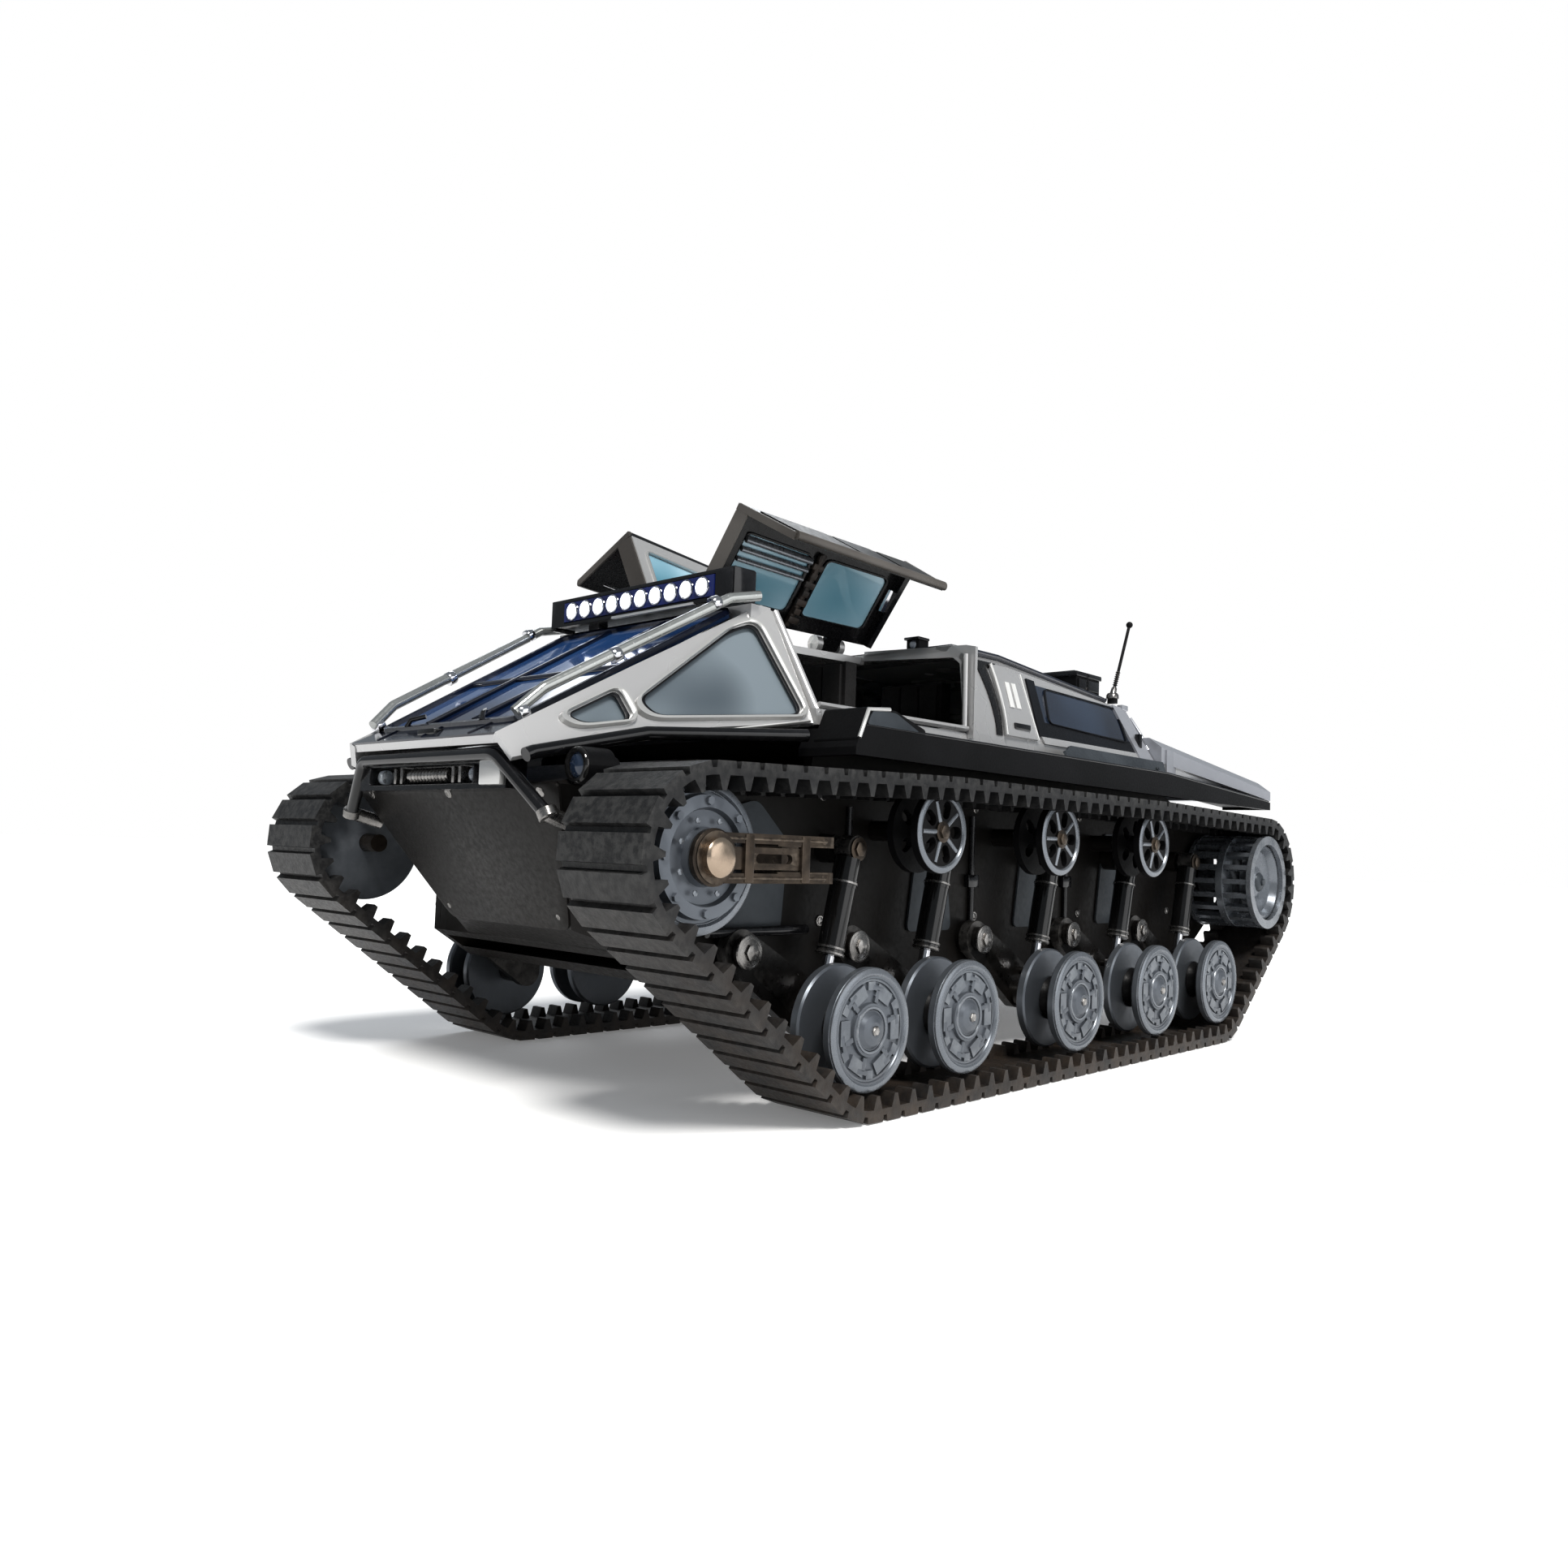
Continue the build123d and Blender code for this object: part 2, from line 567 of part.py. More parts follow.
with BuildPart() as door_closed:
    roof_plane = plane_through(ROOF_PANEL)
    side_panel_plane = plane_through(SIDE_PANEL)
    plate(roof_plane, ROOF_PANEL, -SKIN)
    plate(side_panel_plane, SIDE_PANEL, SKIN)
    for window in DOOR_WINDOWS:
        plate(roof_plane, window, -2 * SKIN, 1.6, Mode.SUBTRACT)
    for inner, outer, depth in (
        (ROOF_PANEL[0], ROOF_PANEL[1], -SKIN),
        (ROOF_PANEL[3], ROOF_PANEL[2], SKIN),
    ):
        drop = Vector(0, 0, -FLANGE)
        flange = (inner, outer, tuple(Vector(*outer) + drop), tuple(Vector(*inner) + drop))
        plate(Plane(origin=inner, x_dir=(1, 0, 0), z_dir=(0, -1, 0)), flange, depth)
    for start, stop in KNUCKLES:
        along_hinge(start, stop, 1.5)
        near, far = (HINGE.position + HINGE.direction * d for d in (start, stop))
        reach = Vector(4.5, 0, -0.2)
        plate(roof_plane, [tuple(p) for p in (near, near + reach, far + reach, far)], -1.2)
        along_hinge(start - 1, stop + 1, HINGE_PIN_R + FIT, Mode.SUBTRACT)
    for window in DOOR_WINDOWS:
        pane = inset_corners(window, 0.01)
        with BuildSketch(roof_plane.offset(-SKIN + 0.3)) as outline:
            with BuildLine():
                FilletPolyline(*on_plane(roof_plane, pane), radius=1.5, close=True)
            make_face()
        extrude(outline.sketch, amount=GLASS)
save_both(door_closed.part.rotate(HINGE, -DOOR_OPEN), "door")

# ---------------------------------------------------------------- glazing
with BuildPart() as glazing:
    plate(panel_plane.offset(-SKIN - 0.05), inset_corners(REAR_QUARTER_WINDOW, -0.05), -GLASS, 2.0)
    plate(panel_plane.offset(-SKIN - 0.05), inset_corners(FRONT_QUARTER_WINDOW, -0.08), -GLASS, 1.2)
    plate(side_window_plane, inset_corners(SIDE_WINDOW, 0.01), -GLASS, 1.4)
    other_side()
    plate(shield_plane, WINDSHIELD, -GLASS, 2.0)
save(glazing.part, "glazing")

# ---------------------------------------------------------------- light bar
BAR_X = 31.7
with BuildPart() as light_bar_housing:
    block((-BAR_X, -84.0, 102.4), (BAR_X, -77.0, 109.0))
    block((-26.6, -85.0, 103.2), (26.6, -82.6, 108.2), Mode.SUBTRACT)
    for x in (-20.0, 20.0):
        block((x - 2.0, -80.0, 101.6), (x + 2.0, -77.4, 102.4))
save(light_bar_housing.part, "light_bar_housing")

with BuildPart() as light_bar_lens:
    block((-26.4, -84.2, 103.4), (26.4, -82.7, 108.0))
save(light_bar_lens.part, "light_bar_lens")

# ---------------------------------------------------------------- tubes and lamps
with BuildPart() as bumper_frame:
    tube(((36.0, -130.4, 55.0), (24.5, -134.0, 65.8), (-24.5, -134.0, 65.8), (-36.0, -130.4, 55.0)), 1.3, 4.0)
    block((-27.0, -133.2, 59.6), (27.0, -128.8, 65.6))
    block((-22.0, -136.0, 60.6), (17.0, -130.4, 64.2), Mode.SUBTRACT)
    tube(((48.2, -77.4, 73.4), (37.5, -110.0, 71.2), (32.5, -131.6, 66.0), (32.5, -133.0, 65.4)), 1.3, 3.0)
    tube(((-48.2, -77.4, 73.4), (-37.5, -110.0, 71.2), (-32.5, -131.6, 66.0), (-32.5, -133.0, 65.4)), 1.3, 3.0)
save(bumper_frame.part, "bumper_frame")

with BuildPart() as windshield_rails:
    tube(((26.2, -131.5, 73.5), (27.6, -126.5, 78.4), (33.4, -86.0, 101.6), (34.4, -78.6, 103.3)), 1.1, 3.0)
    other_side()
save(windshield_rails.part, "windshield_rails")

with BuildPart() as headlights:
    front_facing = Plane(origin=(LAMP[0], -120.0, LAMP[1]), x_dir=(1, 0, 0), z_dir=(0, -1, 0))
    with BuildSketch(front_facing):
        Circle(3.4)
    extrude(amount=6.0)
    with BuildSketch(front_facing):
        Circle(2.0)
    extrude(amount=-2.0)
    other_side()
save(headlights.part, "headlights")

# ---------------------------------------------------------------- fenders and rear deck
FENDER_TOP = ((-76.0, 71.0), (-74.0, 75.2), (60.0, 75.2), (134.0, 71.2))
with BuildPart() as fenders:
    with BuildSketch(side_plane(HULL_X)):
        with BuildLine():
            Polyline(*FENDER_TOP, (134.0, 68.8), (-76.0, 69.4), close=True)
        make_face()
    extrude(amount=15.2)
    with BuildSketch(side_plane(HULL_X - 1.0)):
        with BuildLine():
            Polyline((-74.4, 68.0), (-74.4, 70.6), (-73.0, 73.6), (60.0, 73.6), (132.6, 69.6), (132.6, 68.0), close=True)
        make_face()
    extrude(amount=14.6, mode=Mode.SUBTRACT)
    with BuildSketch(side_plane(48.4)):
        with BuildLine():
            FilletPolyline((-76.0, 71.5), (-72.4, 79.2), (-64.0, 79.2), (-50.0, 75.2), (-60.0, 74.4), radius=0.8, close=True)
        make_face()
    extrude(amount=11.6)
    other_side()
save(fenders.part, "fenders")


def deck_section(y, half_width, low, high):
    """Flat-topped cross-section of the rear deck with sloped shoulders."""
    outline = ((half_width, low), (half_width, high - 3.0), (half_width - 4.0, high))
    mirrored = [(-x, z) for x, z in reversed(outline)]
    with BuildSketch(Plane(origin=(0, y, 0), x_dir=(1, 0, 0), z_dir=(0, -1, 0))) as section:
        with BuildLine():
            Polyline(*outline, *mirrored, close=True)
        make_face()
    return section.sketch


with BuildPart() as rear_deck:
    loft([deck_section(CABIN_REAR + GAP, 50.0, 80.0, 87.6), deck_section(134.0, 60.0, 71.8, 77.6)], ruled=True)
    loft(
        [deck_section(CABIN_REAR + GAP + SKIN, 48.4, 79.0, 86.0), deck_section(132.4, 58.4, 70.8, 76.2)],
        ruled=True,
        mode=Mode.SUBTRACT,
    )
save(rear_deck.part, "rear_deck")

# ---------------------------------------------------------------- roof fittings
ANTENNA = (35.4, 73.4)
with BuildPart() as roof_fittings:
    with BuildSketch(side_plane(16.0)):
        with BuildLine():
            Polyline((61.0, 100.8), (75.0, 99.9), (75.0, 106.0), (61.0, 106.6), close=True)
        make_face()
    extrude(amount=14.0)
    block((20.0, -9.0, 102.9), (24.0, -5.0, 106.4))
    with BuildSketch(Plane.XY.offset(98.2)):
        with Locations(ANTENNA):
            Circle(1.5)
    extrude(amount=3.0)
    whip = Vector(0.05, 0.34, 1.0)
    with BuildSketch(Plane(origin=(*ANTENNA, 100.5), z_dir=whip)) as foot:
        Circle(0.45)
    extrude(foot.sketch, amount=24.0)
    with Locations(tuple(Vector(*ANTENNA, 100.5) + whip.normalized() * 24.2)):
        Sphere(1.0)
save(roof_fittings.part, "roof_fittings")

# ---------------------------------------------------------------- inside
with BuildPart() as cabin_interior:
    block((-42.3, -70.6, 74.4), (42.3, 10.0, 76.0))
    block((-24.0, -70.6, 76.0), (24.0, -65.0, 86.0))
    for x in (5.0, -25.0):
        for y in (-52.0, -13.0):
            block((x, y, 76.0), (x + 20.0, y + 17.0, 82.0))
            block((x, y + 13.0, 82.0), (x + 20.0, y + 17.0, 96.0))
save(cabin_interior.part, "cabin_interior")

with BuildPart() as drive_motors:
    block((26.0, 100.0, 37.0), (37.4, 121.6, 56.0))
    post(4.0, 26.0, (110.0, 46.5), 7.0)
    post(1.6, 4.0, (110.0, 46.5), 2.0)
    other_side()
save(drive_motors.part, "drive_motors")

with BuildPart() as battery_and_receiver:
    block((-17.0, -50.0, 25.1), (17.0, 20.0, 43.0))
    block((-15.0, 34.0, 25.1), (15.0, 70.0, 27.0))
    block((-10.0, 40.0, 27.0), (-2.0, 48.0, 29.0))
    block((3.0, 50.0, 27.0), (12.0, 64.0, 31.0))
save(battery_and_receiver.part, "battery_and_receiver")
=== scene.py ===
"""Looks for the small tracked vehicle: materials for the CAD pieces, fine detail, camera and light.

Metres, in the CAD frame: +Z up, the nose points to -Y, the vehicle's left side is +X.
Detail is written in millimetres and scaled once, in piece().
"""

import math

import bmesh
import bpy
from mathutils import Matrix, Vector


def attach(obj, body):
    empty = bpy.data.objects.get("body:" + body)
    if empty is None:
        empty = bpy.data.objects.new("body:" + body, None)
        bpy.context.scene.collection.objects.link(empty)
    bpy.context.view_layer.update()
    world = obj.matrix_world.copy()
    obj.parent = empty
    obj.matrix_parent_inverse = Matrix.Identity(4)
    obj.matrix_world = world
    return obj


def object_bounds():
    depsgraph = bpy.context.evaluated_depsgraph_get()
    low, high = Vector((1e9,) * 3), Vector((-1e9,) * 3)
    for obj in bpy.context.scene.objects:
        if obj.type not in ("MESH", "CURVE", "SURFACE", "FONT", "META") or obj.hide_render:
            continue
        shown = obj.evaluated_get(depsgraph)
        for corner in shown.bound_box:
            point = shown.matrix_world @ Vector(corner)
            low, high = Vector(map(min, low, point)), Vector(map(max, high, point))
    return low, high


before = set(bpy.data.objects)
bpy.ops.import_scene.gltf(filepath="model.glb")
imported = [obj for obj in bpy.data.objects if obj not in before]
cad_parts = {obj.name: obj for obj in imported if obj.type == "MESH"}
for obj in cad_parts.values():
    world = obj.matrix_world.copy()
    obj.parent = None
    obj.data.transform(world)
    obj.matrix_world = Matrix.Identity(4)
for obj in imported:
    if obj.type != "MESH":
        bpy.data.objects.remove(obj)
cad_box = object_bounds()
MM = 0.001
SIDES = (("left", 1), ("right", -1))
OUT, FORWARD, UP = (1, 0, 0), (0, -1, 0), (0, 0, 1)


def face_normal(corners):
    """Unit normal of the first three corners, by the right-hand rule."""
    a, b, c = (Vector(p) for p in corners[:3])
    return (b - a).cross(c - a).normalized()


def flattened(corners, plane):
    """The corners dropped square on the plane through the plane's first three points."""
    origin, normal = Vector(plane[0]), face_normal(plane)
    return [Vector(p) - normal * (Vector(p) - origin).dot(normal) for p in corners]


# ---------------------------------------------------------------- shared dimensions (mm)
WHEEL_Z, WHEELS_Y = 17.0, (-76.1, -44.0, 2.2, 43.6, 82.1)
ROLLERS = ((-51.0, 55.2), (-3.0, 55.2), (45.5, 55.2))
IDLER, SPROCKET = (-119.1, 48.7), (115.4, 45.6)
WHEEL_FACE_X, HUB_FACE_X, ROLLER_FACE_X, IDLER_END_X = 65.4, 66.0, 62.6, 66.0
PIVOT_X, SHOCK_X, HULL_X = 51.0, 52.0, 44.8
# arm pivot and the shock's eyes as (y, z) from the wheel's centre
PIVOT_OFFSET, LOWER_EYE, UPPER_EYE = (-18.0, 14.0), (1.5, 5.5), (8.7, 34.0)
REAR_QUARTER = (
    (32.4, -108.6, 77.6), (35.0, -106.4, 74.8), (44.8, -74.6, 78.0), (34.0, -79.2, 97.6),
    (33.0, -85.0, 95.4),
)
FRONT_QUARTER = ((29.8, -123.4, 73.6), (31.4, -120.4, 72.0), (33.8, -110.6, 73.6), (31.0, -112.4, 79.6))
PANEL = ((30.0, -134.2, 64.8), (46.2, -71.5, 77.0), (33.0, -76.0, 102.0))
SIDE_WINDOW = ((45.2, 20.0, 85.8), (44.4, 64.0, 84.8), (38.6, 68.0, 95.2), (42.2, 22.0, 95.2))
WINDSHIELD = ((-25.0, -130.0, 72.0), (25.0, -130.0, 72.0), (29.2, -81.0, 100.2), (-29.2, -81.0, 100.2))
HINGE_POINT, HINGE_WAY, DOOR_OPEN = Vector((5.0, -74.0, 103.2)), Vector((7.0, 57.0, -0.9)), 62.0
ROOF_PANEL = ((7.9, -72.8, 103.4), (32.0, -72.8, 102.2), (36.2, -19.8, 100.7), (14.4, -19.8, 102.4))
SIDE_PANEL = ((32.0, -72.8, 102.2), (32.1, -71.6, 81.0), (35.6, -23.6, 81.0), (36.2, -19.8, 100.7))
DOOR_WINDOWS = tuple(flattened(corners, ROOF_PANEL) for corners in (
    ((13.0, -69.0, 103.0), (28.4, -69.0, 102.4), (29.6, -49.0, 102.0), (15.0, -49.0, 102.6)),
    ((15.6, -44.0, 102.6), (30.2, -44.0, 101.8), (32.0, -24.0, 101.2), (18.0, -24.0, 102.0)),
))


# ---------------------------------------------------------------- materials
DUST = (0.085, 0.062, 0.045)
M = {}


def material(name, color, second, metallic=0.0, roughness=0.5, spread=0.1, grain=900, bump=0.1, patch=60,
             coat=0.0, dust=None, wear=None, specular=0.5, detail=3.0):
    """Procedural finish: two slow tones, uneven roughness, fine bump, optional dust low down and worn edges.

    grain and patch are noise scales per metre, spread is how far the roughness wanders, and dust
    is the height in metres that it reaches with its amount. It is kept in M under its name.
    """
    made = M[name] = bpy.data.materials.new(name)
    made.use_nodes = True
    nodes, links = made.node_tree.nodes, made.node_tree.links
    shader = nodes["Principled BSDF"]
    shader.inputs["Metallic"].default_value = metallic
    shader.inputs["Coat Weight"].default_value = coat
    shader.inputs["Coat Roughness"].default_value = 0.08
    shader.inputs["Specular IOR Level"].default_value = specular
    place = nodes.new("ShaderNodeTexCoord")

    def noise(scale, detail=4.0, rough=0.6):
        n = nodes.new("ShaderNodeTexNoise")
        n.inputs["Scale"].default_value = scale
        n.inputs["Detail"].default_value = detail
        n.inputs["Roughness"].default_value = rough
        links.new(place.outputs["Object"], n.inputs["Vector"])
        return n

    def remap(value, low, high, to_low, to_high):
        m = nodes.new("ShaderNodeMapRange")
        for socket, number in (
            ("From Min", low), ("From Max", high), ("To Min", to_low), ("To Max", to_high),
        ):
            m.inputs[socket].default_value = number
        links.new(value, m.inputs["Value"])
        return m.outputs["Result"]

    def mix(factor, a, b):
        m = nodes.new("ShaderNodeMix")
        m.data_type = "RGBA"
        links.new(factor, m.inputs["Factor"])
        for socket, value in ((m.inputs[6], a), (m.inputs[7], b)):
            if isinstance(value, bpy.types.NodeSocket):
                links.new(value, socket)
            else:
                socket.default_value = (*value, 1.0)
        return m.outputs[2]

    def times(a, b):
        m = nodes.new("ShaderNodeMath")
        m.operation = "MULTIPLY"
        links.new(a, m.inputs[0])
        if isinstance(b, bpy.types.NodeSocket):
            links.new(b, m.inputs[1])
        else:
            m.inputs[1].default_value = b
        return m.outputs[0]

    patches = noise(patch, detail, 0.5)
    tone = mix(remap(patches.outputs["Fac"], 0.35, 0.65, 0.0, 1.0), color, second)
    if wear:
        edges = nodes.new("ShaderNodeNewGeometry")
        rubbed = remap(edges.outputs["Pointiness"], 0.56, 0.66, 0.0, 0.6)
        tone = mix(times(rubbed, remap(noise(grain * 0.5).outputs["Fac"], 0.4, 0.6, 0.2, 1.0)), tone, wear)
    if dust:
        height = nodes.new("ShaderNodeSeparateXYZ")
        links.new(place.outputs["Object"], height.inputs[0])
        top, amount = dust
        low = remap(height.outputs["Z"], top, 0.0, 0.0, 1.0)
        speckle = remap(noise(180.0, 6.0).outputs["Fac"], 0.35, 0.7, 0.15, 1.0)
        tone = mix(times(times(low, speckle), amount), tone, DUST)
    links.new(tone, shader.inputs["Base Color"])
    fine = noise(grain, detail + 1.0)
    links.new(
        remap(fine.outputs["Fac"], 0.3, 0.7, max(roughness - spread, 0.02), roughness + spread),
        shader.inputs["Roughness"],
    )
    if bump:
        relief = nodes.new("ShaderNodeBump")
        relief.inputs["Strength"].default_value = bump
        relief.inputs["Distance"].default_value = 0.0002
        links.new(fine.outputs["Fac"], relief.inputs["Height"])
        links.new(relief.outputs["Normal"], shader.inputs["Normal"])
    return shader


material(
    "silver", (0.55, 0.545, 0.54), (0.49, 0.488, 0.49), metallic=0.45, roughness=0.27, spread=0.012,
    grain=50, bump=0.0, patch=10, coat=0.4, detail=0.5,
)
material(
    "silver_edge", (0.62, 0.615, 0.6), (0.56, 0.56, 0.55), metallic=0.55, roughness=0.24, spread=0.012,
    grain=60, bump=0.0, patch=16, coat=0.3, detail=0.5,
)
material(
    "door_dark", (0.01, 0.01, 0.011), (0.006, 0.006, 0.007), roughness=0.26, spread=0.08, bump=0.05,
    patch=50, coat=0.2, specular=0.3,
)
material(
    "grey_trim", (0.03, 0.029, 0.027), (0.014, 0.0135, 0.013), metallic=0.1, roughness=0.38, spread=0.06,
    bump=0.06, patch=40, specular=0.3, detail=1.0,
)
material(
    "flange", (0.125, 0.115, 0.105), (0.065, 0.058, 0.052), metallic=0.1, roughness=0.42, spread=0.06,
    bump=0.08, patch=50, detail=1.5,
)
material(
    "brown", (0.06, 0.045, 0.036), (0.022, 0.017, 0.014), metallic=0.1, spread=0.15, grain=500, bump=0.6,
    patch=190,
)
material(
    "deck", (0.42, 0.43, 0.46), (0.37, 0.38, 0.41), metallic=0.4, roughness=0.3, spread=0.02, grain=260,
    bump=0.0, patch=12, coat=0.3, detail=1.0,
)
material(
    "hull", (0.012, 0.0105, 0.0095), (0.007, 0.0062, 0.0056), roughness=0.42, bump=0.12, dust=(0.05, 0.12),
    specular=0.22,
)
material(
    "plate_grey", (0.075, 0.085, 0.095), (0.045, 0.052, 0.06), metallic=0.3, roughness=0.4,
    dust=(0.05, 0.15), specular=0.3,
)
material(
    "hood", (0.006, 0.009, 0.024), (0.003, 0.005, 0.013), metallic=0.1, roughness=0.16, spread=0.05,
    bump=0.02, patch=50, coat=0.5,
)
material(
    "rubber", (0.015, 0.0152, 0.0165), (0.0085, 0.0086, 0.0092), roughness=0.46, spread=0.12, grain=1400,
    bump=0.4, patch=70, dust=(0.046, 0.62), wear=(0.07, 0.069, 0.067), specular=0.35,
)
material(
    "wheel", (0.155, 0.17, 0.19), (0.12, 0.132, 0.15), metallic=0.55, roughness=0.34, spread=0.05,
    grain=500, bump=0.04, patch=30, wear=(0.34, 0.36, 0.38), dust=(0.024, 0.2), detail=2.0,
)
material(
    "wheel_pale", (0.225, 0.24, 0.262), (0.175, 0.19, 0.21), metallic=0.6, roughness=0.28, spread=0.05,
    grain=500, bump=0.03, patch=30, wear=(0.38, 0.39, 0.41), detail=2.0,
)
material(
    "arm", (0.014, 0.0135, 0.013), (0.008, 0.0078, 0.0075), metallic=0.4, roughness=0.34, bump=0.12,
    patch=80, wear=(0.2, 0.19, 0.18), dust=(0.035, 0.3),
)
material(
    "chrome", (0.66, 0.66, 0.68), (0.56, 0.56, 0.58), metallic=1.0, roughness=0.12, spread=0.05,
    grain=1200, bump=0.03, patch=90,
)
material(
    "rail", (0.42, 0.43, 0.42), (0.35, 0.36, 0.35), metallic=0.7, roughness=0.22, spread=0.06, grain=1200,
    bump=0.03, coat=0.3,
)
material(
    "steel", (0.3, 0.29, 0.28), (0.14, 0.135, 0.13), metallic=0.9, roughness=0.26, spread=0.08, grain=1500,
    bump=0.15, patch=250, wear=(0.6, 0.58, 0.56),
)
material(
    "bronze", (0.085, 0.066, 0.05), (0.04, 0.032, 0.026), metallic=0.8, roughness=0.36, grain=1100,
    bump=0.3, patch=220, wear=(0.3, 0.25, 0.2),
)
material(
    "pale_bronze", (0.5, 0.41, 0.32), (0.4, 0.32, 0.25), metallic=0.95, roughness=0.24, spread=0.05,
    grain=700, bump=0.06, patch=90, detail=1.5,
)
material(
    "black", (0.006, 0.006, 0.007), (0.004, 0.004, 0.0045), roughness=0.15, spread=0.06, bump=0.03,
    coat=0.35, wear=(0.05, 0.05, 0.055), specular=0.4,
)
material(
    "shock", (0.016, 0.0155, 0.0155), (0.009, 0.009, 0.009), metallic=0.5, roughness=0.16, spread=0.05,
    bump=0.03, patch=90, coat=0.5, wear=(0.22, 0.21, 0.2),
)
material(
    "plastic", (0.0085, 0.0085, 0.0095), (0.0055, 0.0055, 0.006), roughness=0.42, grain=1600, bump=0.2,
    dust=(0.07, 0.03), specular=0.14,
)
material(
    "inside", (0.007, 0.007, 0.0075), (0.0045, 0.0045, 0.005), grain=1500, bump=0.3, patch=80, specular=0.2,
)
material(
    "seat", (0.026, 0.025, 0.025), (0.015, 0.0145, 0.0145), roughness=0.66, grain=1900, bump=0.6,
    patch=120, specular=0.25,
)
material(
    "seal", (0.006, 0.007, 0.01), (0.004, 0.0045, 0.006), roughness=0.36, grain=1500, bump=0.15, patch=80,
    specular=0.3,
)
material("red", (0.36, 0.02, 0.012), (0.22, 0.012, 0.01), roughness=0.3, spread=0.08, bump=0.05, patch=80)
material(
    "can", (0.45, 0.45, 0.46), (0.36, 0.36, 0.37), metallic=0.9, roughness=0.32, spread=0.08, grain=1200,
    bump=0.08,
)
material("board", (0.02, 0.07, 0.04), (0.015, 0.05, 0.03), roughness=0.4)
material("white", (0.7, 0.7, 0.69), (0.6, 0.6, 0.59), roughness=0.45, bump=0.05)


def glass(name, color, depth, roughness, transmission, patch=25.0):
    """Tinted pane: a slow blotch between two tones of the tint and a faint smear in the roughness; on the
    opaque grey and teal panes the pale tone is painted reflection of the sky over the glass's own tint.
    """
    shader = material(
        name, color, depth, roughness=roughness, spread=0.02, grain=300, bump=0.0, patch=patch, detail=0.6,
    )
    shader.inputs["Transmission Weight"].default_value = transmission
    shader.inputs["IOR"].default_value = 1.45
    shader.inputs["Coat Weight"].default_value = 0.5


glass("blue_glass", (0.045, 0.13, 0.34), (0.006, 0.016, 0.06), 0.03, 0.15, 26)
# Quarter panes: a grey tint; the pale tone and its slow blotch are painted reflection of a bright sky on an
# opaque pane.
glass("grey_glass_painted_reflection", (0.2, 0.235, 0.26), (0.055, 0.07, 0.085), 0.03, 0.0, 42)
# Door panes: a teal tint; the pale tone is painted reflection of the sky on an opaque pane.
glass("teal_glass_painted_reflection", (0.5, 0.7, 0.8), (0.13, 0.32, 0.41), 0.04, 0.0, 38)
glass("dark_glass", (0.02, 0.034, 0.062), (0.008, 0.013, 0.026), 0.03, 0.0, 40)
glass("lens", (0.02, 0.035, 0.18), (0.01, 0.015, 0.09), 0.05, 0.3, 40)
glass("clear", (0.8, 0.85, 0.9), (0.6, 0.66, 0.75), 0.04, 0.8, 60)

lit = material("led", (0.9, 0.92, 1.0), (0.8, 0.84, 1.0), roughness=0.3, spread=0.05, bump=0.0)
lit.inputs["Emission Color"].default_value = (0.82, 0.88, 1.0, 1.0)
lit.inputs["Emission Strength"].default_value = 5.0

# each finish, and how the names of its CAD nodes start
FINISHES = {
    "rubber": ("track_left", "track_right"),
    "wheel": ("road_wheel", "front_idler"),
    "wheel_pale": ("drive_sprocket",),
    "arm": ("swing_arm",),
    "chrome": ("shock_rod",),
    "shock": ("shock_cylinders",),
    "bronze": ("track_tensioners",),
    "hull": ("lower_hull",),
    "silver": ("upper_body",),
    "deck": ("rear_deck",),
    "plastic": ("return_roller", "fenders", "headlights", "roof_fittings"),
    "blue_glass": ("glazing",),
    "black": ("light_bar_housing", "bumper_frame"),
    "lens": ("light_bar_lens",),
    "rail": ("windshield_rails",),
    "seat": ("cabin_interior",),
    "can": ("drive_motors",),
    "board": ("battery_and_receiver",),
    "door_dark": ("door_",),
}
for node_name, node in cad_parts.items():
    finish = next(f for f, starts in FINISHES.items() if node_name.startswith(starts))
    node.data.materials.clear()
    node.data.materials.append(M[finish])


def soften(node, width, segments=2):
    """Rounds the node's sharp edges a little."""
    bevel = node.modifiers.new("soften", "BEVEL")
    bevel.width = width * MM
    bevel.segments = segments
    bevel.limit_method = "ANGLE"
    bevel.angle_limit = math.radians(40)
    bevel.use_clamp_overlap = True


# ---------------------------------------------------------------- shape helpers, millimetres
def facing(point, normal, up=(0, 0, 1)):
    """Matrix whose local z is the normal, and local y as near to up as it can be."""
    z = Vector(normal).normalized()
    x = Vector(up).cross(z)
    x = x.normalized() if x.length > 1e-6 else Vector((1, 0, 0))
    y = z.cross(x)
    turned = Matrix((x, y, z)).transposed().to_4x4()
    turned.translation = Vector(point)
    return turned


def loft_rings(bm, rings, close_ends=True):
    """Skins a list of rings of equal length."""
    made = [[bm.verts.new(p) for p in ring] for ring in rings]
    for a, b in zip(made, made[1:]):
        for i in range(len(a)):
            j = (i + 1) % len(a)
            bm.faces.new((a[i], a[j], b[j], b[i]))
    if close_ends:
        bm.faces.new(list(reversed(made[0])))
        bm.faces.new(made[-1])


def lathe(bm, at, way, stations, count=24, inner=None):
    """Turned shape about the line through at along way; stations are (distance, radius)."""
    turned = facing(at, way)

    def ring(distance, radius):
        angles = (2 * math.pi * i / count for i in range(count))
        return [turned @ Vector((radius * math.cos(a), radius * math.sin(a), distance)) for a in angles]

    rings = [ring(d, max(r, 0.01)) for d, r in stations]
    if inner is not None:
        rings += [ring(stations[-1][0], inner), ring(stations[0][0], inner), rings[0]]
        loft_rings(bm, rings, False)
        bmesh.ops.remove_doubles(bm, verts=bm.verts, dist=1e-5)
    else:
        loft_rings(bm, rings)


